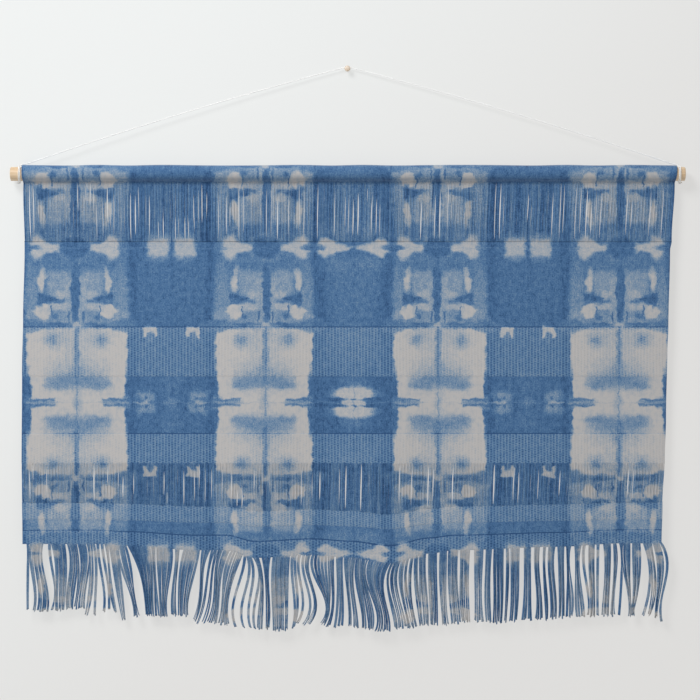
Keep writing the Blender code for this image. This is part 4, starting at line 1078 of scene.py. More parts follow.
@dataclass
class Fringe:
    """The warp ends below the hem, two to a strand, in the bunches that the cloth shows."""

    steps: int = 17
    sides: int = 6
    tuck: float = 2.0 * MM
    layer_shift: float = 1.2 * MM
    layered_at: float = 0.4
    gathered_at: float = 0.05
    fill: float = 1.07
    least_width: float = 2.6 * MM
    most_width: float = 5.3 * MM
    pair_depth: float = 0.55 * MM
    half_depth: float = 0.9 * MM
    tip_share: float = 0.86
    lay: float = 0.62
    ragged: float = 2.0 * MM
    sway: float = 0.5 * MM
    ragged_turn: float = 2.4
    least_pitch: float = 2.4 * MM
    seed: int = 11

    def charted(self) -> tuple[np.ndarray, np.ndarray]:
        """Reads the bunches: X of each strand at its four charted levels, and its tip's height."""
        places = [
            np.linspace([b.root[0], b.upper[0], b.lower[0], b.tip[0]],
                        [b.root[1], b.upper[1], b.lower[1], b.tip[1]], b.strands)
            for b in BUNCHES_MM
        ]
        tip_z = np.repeat([b.tip_z for b in BUNCHES_MM], [b.strands for b in BUNCHES_MM]) * MM
        tip_z = tip_z + self.ragged * np.sin(self.ragged_turn * np.arange(len(tip_z)))
        return np.concatenate(places) * MM, tip_z

    def through(self, places: np.ndarray, levels: np.ndarray, z: np.ndarray) -> np.ndarray:
        """Carries each strand through its four charted places by the one cubic that meets them.

        Args:
            places: X at the four places (strands, 4).
            levels: Z of the four places (strands, 4).
            z: Z of the strands' steps (strands, steps).

        Returns:
            X of the steps.
        """
        x = np.zeros_like(z)
        for k in range(4):
            share = np.ones_like(z)
            for other in set(range(4)) - {k}:
                step = levels[:, k, None] - levels[:, other, None]
                share = share * (z - levels[:, other, None]) / step
            x += places[:, k, None] * share
        return x

    def build(self, material: bpy.types.Material) -> bpy.types.Object:
        """Hangs the strands from the hem, and gives the piece.

        A strand is as wide as the room to its neighbours lets it be, times the fill, and fills
        it quite where it leaves the hem. Its two ends turn slowly round each other.

        Args:
            material: The strands' finish.

        Returns:
            The piece.
        """
        draw = np.random.default_rng(self.seed)
        places, tip_z = self.charted()
        t = np.linspace(0.0, 1.0, self.steps)
        t = (0.5 * t + 0.5 * (0.5 - 0.5 * np.cos(np.pi * t)))[None]
        left = float(eased(np.array(CLOTH_FOOT), LEFT_EDGE))
        right = float(eased(np.array(CLOTH_FOOT), RIGHT_EDGE))
        foot = cloth_points((places[:, :1] - left) / (right - left), np.array(CLOTH_FOOT))
        z_root = foot[..., 2] + self.tuck
        z = z_root + (tip_z[:, None] - z_root) * t
        middle = np.broadcast_to(STRAND_LEVELS, (len(places), 2))
        levels = np.concatenate([z_root, middle, tip_z[:, None]], axis=1)
        phase = draw.uniform(0.0, FULL_TURN, (len(places), 1))
        x = self.through(places, levels, z) + self.sway * t * np.sin(phase + 5.0 * t)
        for k in range(2, len(x)):
            x[k] = np.maximum(x[k], x[k - 2] + self.least_pitch)
        side = np.where(np.arange(len(x)) % 2, 1.0, -1.0)[:, None]
        y = foot[..., 1] + 0.6 * MM + side * self.layer_shift * np.minimum(1.0, t / self.layered_at)
        room = np.diff(x, axis=0)
        room = np.minimum(np.pad(room, ((1, 0), (0, 0)), "edge"), np.pad(room, ((0, 1), (0, 0)), "edge"))
        taper = 1.0 + (self.tip_share - 1.0) * t
        width = np.clip(self.fill * room, self.least_width, self.most_width) * taper
        width = width + (np.minimum(room, 7.0 * MM) - width) * np.exp(-t / self.gathered_at)
        lines, tones = [], []
        strand_tone = draw.uniform(-0.8, 0.8, len(x))
        for half in (0.0, np.pi):
            turn = 0.5 * np.sin(phase + FULL_TURN * self.lay * t) + half
            aside = width / 4.0 * np.cos(turn)
            line = np.stack([x + aside, y + self.pair_depth * np.sin(turn), z], axis=-1)
            cut = draw.uniform(-1.5, 1.5, (len(x), 1)) * MM
            line[..., 2] += cut * t
            lines.append(line)
            tones.append(strand_tone + draw.uniform(-0.3, 0.3, len(x)))
        lines, tones = np.concatenate(lines), np.concatenate(tones)
        half_wide = np.tile(width / 4.0 * 1.04, (2, 1))
        half_deep = self.half_depth * taper * np.ones((len(lines), 1))
        surface = yarns(lines, half_wide, half_deep, self.sides, tones)
        return place(surface.piece("fringe_ends", material), "dyed_fringe", "fringe")


def lathe(profile: np.ndarray, sides: int, place_ring, waviness: float = 0.0) -> Surface:
    """Turns a profile of (distance along, radius) about an axis, with its ends drawn in.

    The radius is the profile's * (1 + waviness * cos(2 a + 3 * row share)), which keeps a turned
    piece from being perfectly round.

    Args:
        profile: Distance along the axis and radius for each ring.
        sides: Points in each ring.
        place_ring: Turns (along, across, across) into X, Y and Z.
        waviness: The share by which the radius varies.

    Returns:
        The turned surface.
    """
    angle = np.arange(sides) / sides * FULL_TURN
    along = np.concatenate([profile[:1, 0], profile[:, 0], profile[-1:, 0]])[:, None]
    radius = np.concatenate([[0.0], profile[:, 1], [0.0]])[:, None]
    share = np.linspace(0.0, 1.0, len(radius))[:, None]
    radius = radius * (1.0 + waviness * np.cos(2.0 * angle + 3.0 * share))
    points = place_ring(along + 0.0 * angle, radius * np.cos(angle), radius * np.sin(angle))
    weave = np.stack([angle + 0.0 * radius, along + 0.0 * angle], axis=-1)
    return Surface.of_grid(points, weave, closed=True, flip=True)


@dataclass
class Rod:
    """The pale wooden dowel in the sleeve."""

    radius: float = 12.7 * MM
    left: float = -613.5 * MM
    right: float = 615.0 * MM
    chamfer: float = 1.2 * MM
    saw_hollow: float = 0.15 * MM
    sides: int = 72

    def build(self, material: bpy.types.Material) -> bpy.types.Object:
        """Turns the rod, and gives the piece.

        Each end is a slightly hollow flat and a quarter round: at turn t the chamfer lies
        chamfer * (1 - cos t) in from the end and chamfer * (1 - sin t) below the full radius.

        Args:
            material: The wood.

        Returns:
            The piece.
        """
        turn = np.linspace(0.0, np.pi / 2.0, 6)
        rounded = [self.chamfer * (1.0 - np.cos(turn)), self.radius - self.chamfer * (1.0 - np.sin(turn))]
        flat = [[self.saw_hollow, self.radius * 0.3], [0.0, self.radius * 0.85]]
        end = np.concatenate([flat, np.stack(rounded, axis=-1)])
        shaft = np.linspace(self.left + 3.0 * MM, self.right - 3.0 * MM, 60)
        shaft = np.stack([shaft, np.full_like(shaft, self.radius)], axis=-1)
        start, finish = end + [self.left, 0.0], end[::-1] * [-1.0, 1.0] + [self.right, 0.0]

        def along_x(along: np.ndarray, y: np.ndarray, z: np.ndarray) -> np.ndarray:
            """Lays the rod's axis along X."""
            return np.stack([along, ROD_AXIS_Y + y, ROD_AXIS_Z + z], axis=-1)

        surface = lathe(np.concatenate([start, shaft, finish]), self.sides, along_x, 0.003)
        return place(surface.piece("wooden_rod", material), "rod_wood", "rod")


# The peg's outline: how far each ring stands out of the wall, and its radius
Ring = namedtuple("Ring", "out_mm radius_mm")
PEG_OUTLINE = (
    Ring(0.0, 4.0),
    Ring(0.4, 4.2),
    Ring(1.4, 4.2),
    Ring(1.9, 3.3),
    Ring(2.8, 2.72),
    Ring(5.2, 2.66),
    Ring(7.4, 2.74),
    Ring(8.0, 3.5),
    Ring(8.6, 4.7),
    Ring(9.5, 5.3),
    Ring(10.3, 5.3),
    Ring(10.8, 5.0),
    Ring(11.3, 4.9),
    Ring(11.9, 4.0),
    Ring(12.3, 2.7),
    Ring(12.5, 1.3),
)


@dataclass
class Peg:
    """The small turned peg that the cord hangs on, its back flat on the wall."""

    ring_step: float = 0.25 * MM
    sides: int = 48

    def build(self, material: bpy.types.Material) -> bpy.types.Object:
        """Turns the peg from its outline, and gives the piece."""

        def out_of_wall(along: np.ndarray, x: np.ndarray, z: np.ndarray) -> np.ndarray:
            """Stands the peg's axis out of the wall."""
            return np.stack([x, -along, z], axis=-1)

        outline = smooth_through(np.array(PEG_OUTLINE) * MM, self.ring_step)
        surface = lathe(outline, self.sides, out_of_wall)
        return place(surface.piece("turned_peg", material), "peg_wood", "wall_peg")


@dataclass
class Cord:
    """The thin cord from one end of the rod over the peg to the other, with its two knots."""

    diameter: float = 1.8 * MM
    step_at_rod: float = 4.6 * MM
    step_in_run: float = 70.0 * MM
    bow: float = 6.0 * MM
    peg_neck_radius: float = 2.7 * MM
    peg_neck_y: float = -5.0 * MM
    touch_gap: float = 0.3 * MM
    plies: int = 3
    ply_depth: float = 0.13
    lay: float = 6.5 * MM
    fine_step: float = 1.0 * MM
    sides: int = 12
    knot_radius: float = 2.6 * MM

    def wrap_points(self, edge: float, side: float) -> np.ndarray:
        """Places the wrap's rows round the rod, for the left (-1) or the right (+1) end.

        Args:
            edge: X of the sleeve's edge there.
            side: Which end it is.

        Returns:
            The wrap's points, from over the sleeve to the tail.
        """
        out, angle, radius = np.array(CORD_WRAP, float).T
        angle, radius = np.radians(angle), radius * MM
        y = ROD_AXIS_Y - radius * np.sin(angle)
        return np.stack([edge + side * out * MM, y, ROD_AXIS_Z + radius * np.cos(angle)], axis=-1)

    def route(self) -> np.ndarray:
        """The cord's middle line, from its left tail over the peg to its right tail."""
        over_peg = self.peg_neck_radius + self.touch_gap + self.diameter / 2.0
        crown = np.array([[0.0, self.peg_neck_y, over_peg]])
        halves = []
        for edge, side in ((LEFT_SLEEVE_EDGE, -1.0), (RIGHT_SLEEVE_EDGE, 1.0)):
            wraps = self.wrap_points(edge, side)
            lean = math.atan2(crown[0, 2] - wraps[0, 2], abs(wraps[0, 0]))
            rest = np.array(
                [side * over_peg * math.sin(lean), self.peg_neck_y, over_peg * math.cos(lean)]
            )
            pieces = round(float(np.linalg.norm(wraps[0] - rest)) / self.step_in_run)
            t = (np.arange(pieces) / pieces)[:, None]
            run = rest + (wraps[0] - rest) * t
            run[:, 2] += self.bow * 4.0 * (t * (1.0 - t))[:, 0]
            halves.append(np.concatenate([run, smooth_through(wraps, self.step_at_rod)]))
        return np.concatenate([halves[0][::-1], crown, halves[1]])

    def rope(self, line: np.ndarray, outward: np.ndarray) -> Surface:
        """Lays the plies round a line: radius * (1 - depth + depth * |cos| of the plies' turn).

        Args:
            line: The middle line, with points about a fine step apart.
            outward: A direction for each point that isn't the line's own.

        Returns:
            The twisted cord.
        """
        along = np.linalg.norm(np.diff(line, axis=0, prepend=line[:1]), axis=1).cumsum()
        angle = np.arange(self.sides) / self.sides * FULL_TURN
        turn = self.plies / 2.0 * (angle[None] - FULL_TURN * along[:, None] / self.lay)
        shape = 1.0 - self.ply_depth + self.ply_depth * np.abs(np.cos(turn))
        return swept(line, outward, self.diameter / 2.0 * shape)

    def fine(self, line: np.ndarray) -> np.ndarray:
        """Puts points a fine step apart on a line, each on a straight stretch of it."""
        along = np.linalg.norm(np.diff(line, axis=0, prepend=line[:1]), axis=1).cumsum()
        at = np.linspace(0.0, along[-1], round(along[-1] / self.fine_step) + 1)
        return np.stack([np.interp(at, along, line[:, k]) for k in range(3)], axis=-1)

    def knot(self, name: str, tail: np.ndarray, inner: np.ndarray, material: bpy.types.Material):
        """Ties an overhand knot at a tail, with a short end past it, and gives the piece.

        The knot's line is ((2 + cos 3t) cos 2t, (2 + cos 3t) sin 2t, sin 3t), made small.

        Args:
            name: Which knot it is.
            tail: The cord's last point.
            inner: The point before it.
            material: The cord's finish.

        Returns:
            The piece.
        """
        onward = (tail - inner) / np.linalg.norm(tail - inner)
        middle = tail + onward * (self.knot_radius + self.touch_gap)
        aside = np.cross(onward, [0.0, 0.3, 1.0])
        aside /= np.linalg.norm(aside)
        third = np.cross(onward, aside)
        t = np.linspace(0.15, FULL_TURN - 0.15, 90)
        ring = 2.0 + np.cos(3.0 * t)
        size = self.knot_radius * 0.36
        flat = np.stack([ring * np.cos(2 * t), ring * np.sin(2 * t), 1.3 * np.sin(3 * t)], axis=-1)
        axes = np.stack([onward, aside, third])
        line = middle + size * flat @ axes
        core = middle + size * np.stack([2 * np.cos(2 * t), 2 * np.sin(2 * t), 0 * t], axis=-1) @ axes
        tied = self.rope(line, line - core + 1e-5 * third)
        reach = np.linspace(0.0, 1.0, 10)[:, None]
        end = middle + onward * (self.knot_radius * (0.6 + 1.6 * reach))
        end = end + 0.6 * MM * np.sin(2.0 * reach) * np.array([0.0, 0.0, -1.0])
        surface = Surface.joined([tied, self.rope(end, np.tile(aside, (len(end), 1)))])
        return place(surface.piece(f"tied_{name}", material), "cord_cotton", f"cord_{name}")

    def build(self, material: bpy.types.Material) -> bpy.types.Object:
        route = self.route()
        line = self.fine(route)
        radial = line - [0.0, ROD_AXIS_Y, ROD_AXIS_Z]
        radial[:, 0] = 0.0
        on_run = (line[:, 0] > LEFT_SLEEVE_EDGE) & (line[:, 0] < RIGHT_SLEEVE_EDGE)
        outward = np.where(on_run[:, None], [0.0, 0.0, 1.0], radial)
        piece = self.rope(line, outward).piece("twisted_cord", material)
        place(piece, "cord_cotton", "hanging_cord")
        knots = [
            self.knot("knot_left", route[0], route[1], material),
            self.knot("knot_right", route[-1], route[-2], material),
        ]
        return piece


@dataclass
class Studio:
    """The camera, the soft lights, the pale backdrop and the pale floor."""

    view_width: float = 1.2761
    view_middle_x: float = 4.7 * MM
    view_middle_z: float = -514.1 * MM
    lens: float = 100.0
    sensor: float = 36.0
    floor_level: float = -1.6
    backdrop_gap: float = 0.8 * MM

    def camera(self) -> None:
        """Sets the camera square on to the cloth, as far off as its lens asks."""
        data = bpy.data.cameras.new("camera")
        data.lens, data.sensor_width = self.lens, self.sensor
        data.clip_start, data.clip_end = 0.05, 60.0
        camera = bpy.data.objects.new("camera", data)
        away = self.view_width * self.lens / self.sensor
        camera.location = (self.view_middle_x, ROD_AXIS_Y - away, self.view_middle_z)
        camera.rotation_euler = (math.pi / 2.0, 0.0, 0.0)
        bpy.context.scene.collection.objects.link(camera)
        bpy.context.scene.camera = camera

    def soft_light(self, name: str, at: tuple, size: float, power: float) -> None:
        """Hangs one square soft light that looks at the middle of the cloth.

        Args:
            name: The light's name.
            at: Where it hangs.
            size: The length of its side.
            power: Its power in watts.
        """
        data = bpy.data.lights.new(name, "AREA")
        data.size, data.energy = size, power
        light = bpy.data.objects.new(name, data)
        light.location = at
        target = np.array([self.view_middle_x, ROD_AXIS_Y, self.view_middle_z])
        x, y, z = target - np.array(at)
        light.rotation_euler = (math.atan2(math.hypot(x, y), -z), 0.0, math.atan2(y, x) - math.pi / 2.0)
        bpy.context.scene.collection.objects.link(light)

    def lights(self) -> None:
        """Lights the cloth from the upper left, with a weaker fill and a pale surround."""
        self.soft_light("key_light", (-1.7, -2.3, 1.9), 1.3, KEY_POWER)
        self.soft_light("fill_light", (1.6, -3.4, 0.4), 2.4, FILL_POWER)
        world = bpy.data.worlds.new("surround")
        world.use_nodes = True
        background = world.node_tree.nodes["Background"]
        background.inputs["Color"].default_value = (0.93, 0.95, 1.0, 1.0)
        background.inputs["Strength"].default_value = SURROUND_STRENGTH
        bpy.context.scene.world = world
        bpy.context.scene.view_settings.view_transform = "Standard"

    def panel(self, name: str, corners: list, material: bpy.types.Material) -> None:
        """Makes one flat panel of the studio, which isn't part of the object."""
        mesh = bpy.data.meshes.new(name)
        mesh.from_pydata(corners, [], [(0, 1, 2, 3)])
        mesh.materials.append(material)
        panel = bpy.data.objects.new(name, mesh)
        bpy.context.scene.collection.objects.link(panel)

    def build(self, backdrop: bpy.types.Material, floor: bpy.types.Material) -> None:
        """Sets up the camera, the lights, the backdrop behind the cloth, and the floor."""
        self.camera()
        self.lights()
        y, low, high, wide = self.backdrop_gap, self.floor_level, 1.4, 2.6
        self.panel(
            "backdrop", [(-wide, y, low), (wide, y, low), (wide, y, high), (-wide, y, high)], backdrop
        )
        z, far = self.floor_level, 5.0
        self.panel("floor", [(-far, -far, z), (far, -far, z), (far, far, z), (-far, far, z)], floor)


def linear(red: float, green: float, blue: float) -> tuple[float, float, float, float]:
    """Turns a colour of 0 to 255 a channel, as seen on a screen, into a shader's colour."""
    seen = np.array([red, green, blue]) / 255.0
    light = np.where(seen <= 0.04045, seen / 12.92, ((seen + 0.055) / 1.055) ** 2.4)
    return (*(float(c) for c in light), 1.0)


class Sketch:
    """A node tree in the making: each method adds a node and gives its output."""

    def __init__(self, tree: bpy.types.NodeTree) -> None:
        """Takes the tree that the nodes are added to."""
        self.tree = tree

    def add(self, kind: str, inputs: dict, out: int | str = 0, **settings) -> bpy.types.NodeSocket:
        """Adds one node.

        Args:
            kind: The node's type, without its ShaderNode prefix.
            inputs: A constant or an output for each input, by its number or name.
            out: The output to give, by its number or name.
            settings: The node's own settings.

        Returns:
            The chosen output.
        """
        node = self.tree.nodes.new(f"ShaderNode{kind}")
        for name, value in settings.items():
            setattr(node, name, value)
        for key, value in inputs.items():
            if isinstance(value, bpy.types.NodeSocket):
                self.tree.links.new(value, node.inputs[key])
            else:
                node.inputs[key].default_value = value
        return node.outputs[out]

    def math(self, operation: str, *values) -> bpy.types.NodeSocket:
        """Adds a sum or another operation on numbers."""
        return self.add("Math", dict(enumerate(values)), operation=operation)

    def vector(self, operation: str, *values, out: int = 0) -> bpy.types.NodeSocket:
        """Adds an operation on vectors."""
        return self.add("VectorMath", dict(enumerate(values)), out, operation=operation)

    def split(self, vector: bpy.types.NodeSocket) -> tuple:
        """Parts a vector into its three numbers."""
        x = self.add("SeparateXYZ", {0: vector})
        return x, x.node.outputs[1], x.node.outputs[2]

    def join(self, x, y, z=0.0) -> bpy.types.NodeSocket:
        """Joins three numbers into a vector."""
        return self.add("CombineXYZ", {0: x, 1: y, 2: z})

    def blend(self, share, first, second) -> bpy.types.NodeSocket:
        """Goes from the first number to the second as the share goes from 0 to 1."""
        return self.add("Mix", {0: share, 2: first, 3: second}, data_type="FLOAT")

    def tint(self, share, first, second) -> bpy.types.NodeSocket:
        """Goes from the first colour to the second as the share goes from 0 to 1."""
        return self.add("Mix", {0: share, 6: first, 7: second}, 2, data_type="RGBA")

    def remap(self, value, low, high, to_low=0.0, to_high=1.0, soft=False) -> bpy.types.NodeSocket:
        """Maps a range of numbers to another one, and holds it at both ends.

        Args:
            value: The number.
            low: Where the range starts.
            high: Where it ends.
            to_low: What it gives at the start.
            to_high: What it gives at the end.
            soft: Whether it eases in and out.

        Returns:
            The mapped number.
        """
        inputs = {0: value, 1: low, 2: high, 3: to_low, 4: to_high}
        return self.add("MapRange", inputs, interpolation_type="SMOOTHSTEP" if soft else "LINEAR")

    def noise(self, place, detail=1.0, colour=False, dimensions="2D") -> bpy.types.NodeSocket:
        """Adds soft noise with features about one unit wide, round 0.5.

        Args:
            place: Where it is read.
            detail: How many finer layers it has.
            colour: Whether it gives three numbers in place of one.
            dimensions: Whether it reads two axes or three.

        Returns:
            The noise.
        """
        inputs = {"Vector": place, "Scale": 1.0, "Detail": detail, "Roughness": 0.55}
        return self.add("TexNoise", inputs, "Color" if colour else "Fac", noise_dimensions=dimensions)

    def group(self, group: bpy.types.NodeTree, out: int = 0, **inputs) -> bpy.types.NodeSocket:
        """Uses a shared group, and gives one of its outputs."""
        node = self.tree.nodes.new("ShaderNodeGroup")
        node.node_tree = group
        for key, value in inputs.items():
            if isinstance(value, bpy.types.NodeSocket):
                self.tree.links.new(value, node.inputs[key])
            else:
                node.inputs[key].default_value = value
        return node.outputs[out]


class SharedGroup:
    """A shader node group with named inputs and outputs, made once."""

    def __init__(self, name: str, inputs: dict[str, str], outputs: dict[str, str]) -> None:
        """Makes the group's sockets.

        Args:
            name: The group's name.
            inputs: Each input's name and kind (Float, Vector or Color).
            outputs: Each output's name and kind.
        """
        self.tree = bpy.data.node_groups.new(name, "ShaderNodeTree")
        for direction, sockets in (("INPUT", inputs), ("OUTPUT", outputs)):
            for socket, kind in sockets.items():
                self.tree.interface.new_socket(
                    name=socket, in_out=direction, socket_type=f"NodeSocket{kind}"
                )
        self.given = self.tree.nodes.new("NodeGroupInput").outputs
        self.result = self.tree.nodes.new("NodeGroupOutput").inputs
        self.sketch = Sketch(self.tree)

    def give(self, **outputs) -> bpy.types.NodeTree:
        """Joins the results to the group's outputs, and gives the group."""
        for name, socket in outputs.items():
            self.tree.links.new(socket, self.result[name])
        return self.tree


class DyeGroups:
    """The shared groups that dye the cloth: blots on a folded packet, and the indigo's colour."""

    reach_mm: float = 8.0
    fine_reach_mm: float = 1.7
    bleed: float = 1.35

    def spot(self) -> bpy.types.NodeTree:
        """A round or oval blot: the length of (place * scale + shift), mapped from outer to inner."""
        sockets = {"place": "Vector", "scale": "Vector", "shift": "Vector", "outer": "Float"}
        sockets |= {"inner": "Float", "cover": "Float"}
        group = SharedGroup("soft_spot", sockets, {"mask": "Float"})
        s, given = group.sketch, group.given
        away = s.vector("MULTIPLY_ADD", given["place"], given["scale"], given["shift"])
        away = s.vector("LENGTH", away, out=1)
        return group.give(mask=s.remap(away, given["outer"], given["inner"], 0.0, given["cover"], True))

    def patch(self) -> bpy.types.NodeTree:
        """A block with soft corners: the smooth greater of |place - middle| - half on both axes."""
        sockets = {"place": "Vector", "middle": "Vector", "half": "Vector", "soft": "Float"}
        group = SharedGroup("soft_patch", sockets | {"cover": "Float"}, {"mask": "Float"})
        s, given = group.sketch, group.given
        away = s.vector("ABSOLUTE", s.vector("SUBTRACT", given["place"], given["middle"]))
        across, down, _ = s.split(s.vector("SUBTRACT", away, given["half"]))
        beyond = s.math("SMOOTH_MAX", across, down, given["soft"])
        low, high = (s.math("MULTIPLY", given["soft"], share) for share in (0.5, -0.5))
        return group.give(mask=s.remap(beyond, low, high, 0.0, given["cover"], True))

    def wedge(self) -> bpy.types.NodeTree:
        """A patch whose height grows evenly across it, from a point at one side."""
        sockets = {"place": "Vector", "middle": "Vector", "half": "Vector", "soft": "Float"}
        sockets |= {"cover": "Float", "taper": "Float"}
        group = SharedGroup("soft_wedge", sockets, {"mask": "Float"})
        s, given = group.sketch, group.given
        across, down, _ = s.split(s.vector("SUBTRACT", given["place"], given["middle"]))
        half_across, half_down, _ = s.split(given["half"])
        lean = s.math("DIVIDE", s.math("MULTIPLY", across, given["taper"]), half_across)
        half_down = s.math("MULTIPLY", half_down, s.math("MULTIPLY_ADD", lean, 0.5, 0.5))
        beyond_across = s.math("SUBTRACT", s.math("ABSOLUTE", across), half_across)
        beyond_down = s.math("SUBTRACT", s.math("ABSOLUTE", down), half_down)
        beyond = s.math("SMOOTH_MAX", beyond_across, beyond_down, given["soft"])
        low, high = (s.math("MULTIPLY", given["soft"], share) for share in (0.5, -0.5))
        return group.give(mask=s.remap(beyond, low, high, 0.0, given["cover"], True))

    def folded(self, s: Sketch, place, axes: tuple) -> bpy.types.NodeSocket:
        """Folds the cloth's places to and fro into those of the packet."""
        total = float(axes[0].packet_mm)
        for here, there in zip(axes, axes[1:]):
            run = there.packet_mm - here.packet_mm
            step = s.remap(place, float(here.place_mm), float(there.place_mm), 0.0, float(run))
            total = s.math("ADD", step, total)
        return total

    def blot(self, s: Sketch, groups: dict, packet: bpy.types.NodeSocket, blot: Blot):
        """Adds one blot of the chart, and gives its mask.

        Args:
            s: The group that it is drawn in.
            groups: The groups for spots, patches and wedges.
            packet: The place in the folded packet.
            blot: The chart's row.

        Returns:
            How far the blot covers what lies under it.
        """
        cover, soft = float(blot.cover), self.bleed * blot.soft
        if blot.form is SPOT:
            edge = soft / 2.0 / min(blot.half_across, blot.half_down)
            scale = (1.0 / blot.half_across, 1.0 / blot.half_down, 0.0)
            shift = (-blot.across / blot.half_across, -blot.down / blot.half_down, 0.0)
            sizes = {"scale": scale, "shift": shift, "outer": 1.0 + edge, "inner": 1.0 - edge}
            return s.group(groups["spot"], place=packet, cover=cover, **sizes)
        middle, half = (blot.across, blot.down, 0.0), (blot.half_across, blot.half_down, 1.0)
        sizes = {"place": packet, "middle": middle, "half": half, "soft": soft, "cover": cover}
        if blot.taper:
            return s.group(groups["wedge"], taper=float(blot.taper), **sizes)
        return s.group(groups["patch"], **sizes)

    def dye(self) -> bpy.types.NodeTree:
        """How much indigo each place of the cloth took, from the chart of the packet.

        The place is first moved by coarse and fine noise, so that each layer's edges bled in
        their own way. Streaks along the warp, mottling and specks are added at the end.

        Returns:
            The group, which takes the place on the hanging cloth.
        """
        group = SharedGroup("shibori_dye", {"place": "Vector"}, {"dye": "Float"})
        s = group.sketch
        x, _, z = s.split(s.vector("MULTIPLY", group.given["place"], (1000.0, 0.0, -1000.0)))
        place = s.join(x, z)
        half = (0.5, 0.5, 0.5)
        coarse = s.noise(s.vector("MULTIPLY", place, (1 / 15, 1 / 12, 0.0)), 1.0, True)
        fine = s.noise(s.vector("MULTIPLY", place, (1 / 2.4, 1 / 3.0, 0.0)), 1.0, True)
        for noise, reach in ((coarse, self.reach_mm), (fine, self.fine_reach_mm)):
            move = s.vector("SUBTRACT", noise, half)
            place = s.vector("MULTIPLY_ADD", move, (reach,) * 3, place)
        x, down, _ = s.split(place)
        packet = s.join(self.folded(s, x, UPRIGHT_AXES), self.folded(s, down, LEVEL_AXES))
        groups = {"spot": self.spot(), "patch": self.patch(), "wedge": self.wedge()}
        dye = GROUND_DYE
        for blot in PACKET_BLOTS:
            dye = s.blend(self.blot(s, groups, packet, blot), dye, blot.dye)
        threads = s.join(*s.split(s.vector("MULTIPLY", group.given["place"], (1.0, 0.0, -1.0)))[::2])
        streaks = s.noise(s.vector("MULTIPLY", threads, (800.0, 30.0, 0.0)), 2.0)
        mottle = s.noise(s.vector("MULTIPLY", threads, (130.0, 110.0, 0.0)), 2.0)
        specks = s.noise(s.vector("MULTIPLY", threads, (470.0, 380.0, 0.0)), 1.0)
        between = s.math("MULTIPLY", s.math("SUBTRACT", 1.0, dye), dye)
        reach = s.math("MULTIPLY_ADD", between, 2.0, 0.10)
        dye = s.math("MULTIPLY_ADD", s.math("SUBTRACT", specks, 0.5), reach, dye)
        for noise, reach in ((streaks, 0.24), (mottle, 0.34)):
            dye = s.math("MULTIPLY_ADD", s.math("SUBTRACT", noise, 0.5), reach, dye)
        return group.give(dye=s.math("MINIMUM", s.math("MAXIMUM", dye, 0.0), 1.0))

    def indigo(self) -> bpy.types.NodeTree:
        """The colour of cotton with that much indigo on it, from undyed to twice dipped."""
        group = SharedGroup("indigo_colour", {"dye": "Float"}, {"colour": "Color"})
        ramp = group.tree.nodes.new("ShaderNodeValToRGB")
        stops = ramp.color_ramp.elements
        while len(stops) > 1:
            stops.remove(stops[-1])
        for k, shade in enumerate(INDIGO_SHADES):
            stop = stops[0] if k == 0 else stops.new(shade.dye)
            stop.position, stop.color = shade.dye, linear(*shade[1:])
        group.tree.links.new(group.given["dye"], ramp.inputs[0])
        return group.give(colour=ramp.outputs[0])


# The dye's colour, from undyed cotton to the darkest seams
Shade = namedtuple("Shade", "dye red green blue")
INDIGO_SHADES = (
    Shade(0.0, 191, 188, 186),
    Shade(0.25, 160, 170, 181),
    Shade(0.45, 128, 151, 175),
    Shade(0.62, 102, 134, 167),
    Shade(0.75, 80, 118, 159),
    Shade(0.85, 69, 107, 150),
    Shade(1.0, 46, 80, 122),
)


# The bands whose tops show as a thin dark line
SEAMED_BANDS = ("plain_upper", "textured_upper", "textured_middle", "textured_lower", "hem")


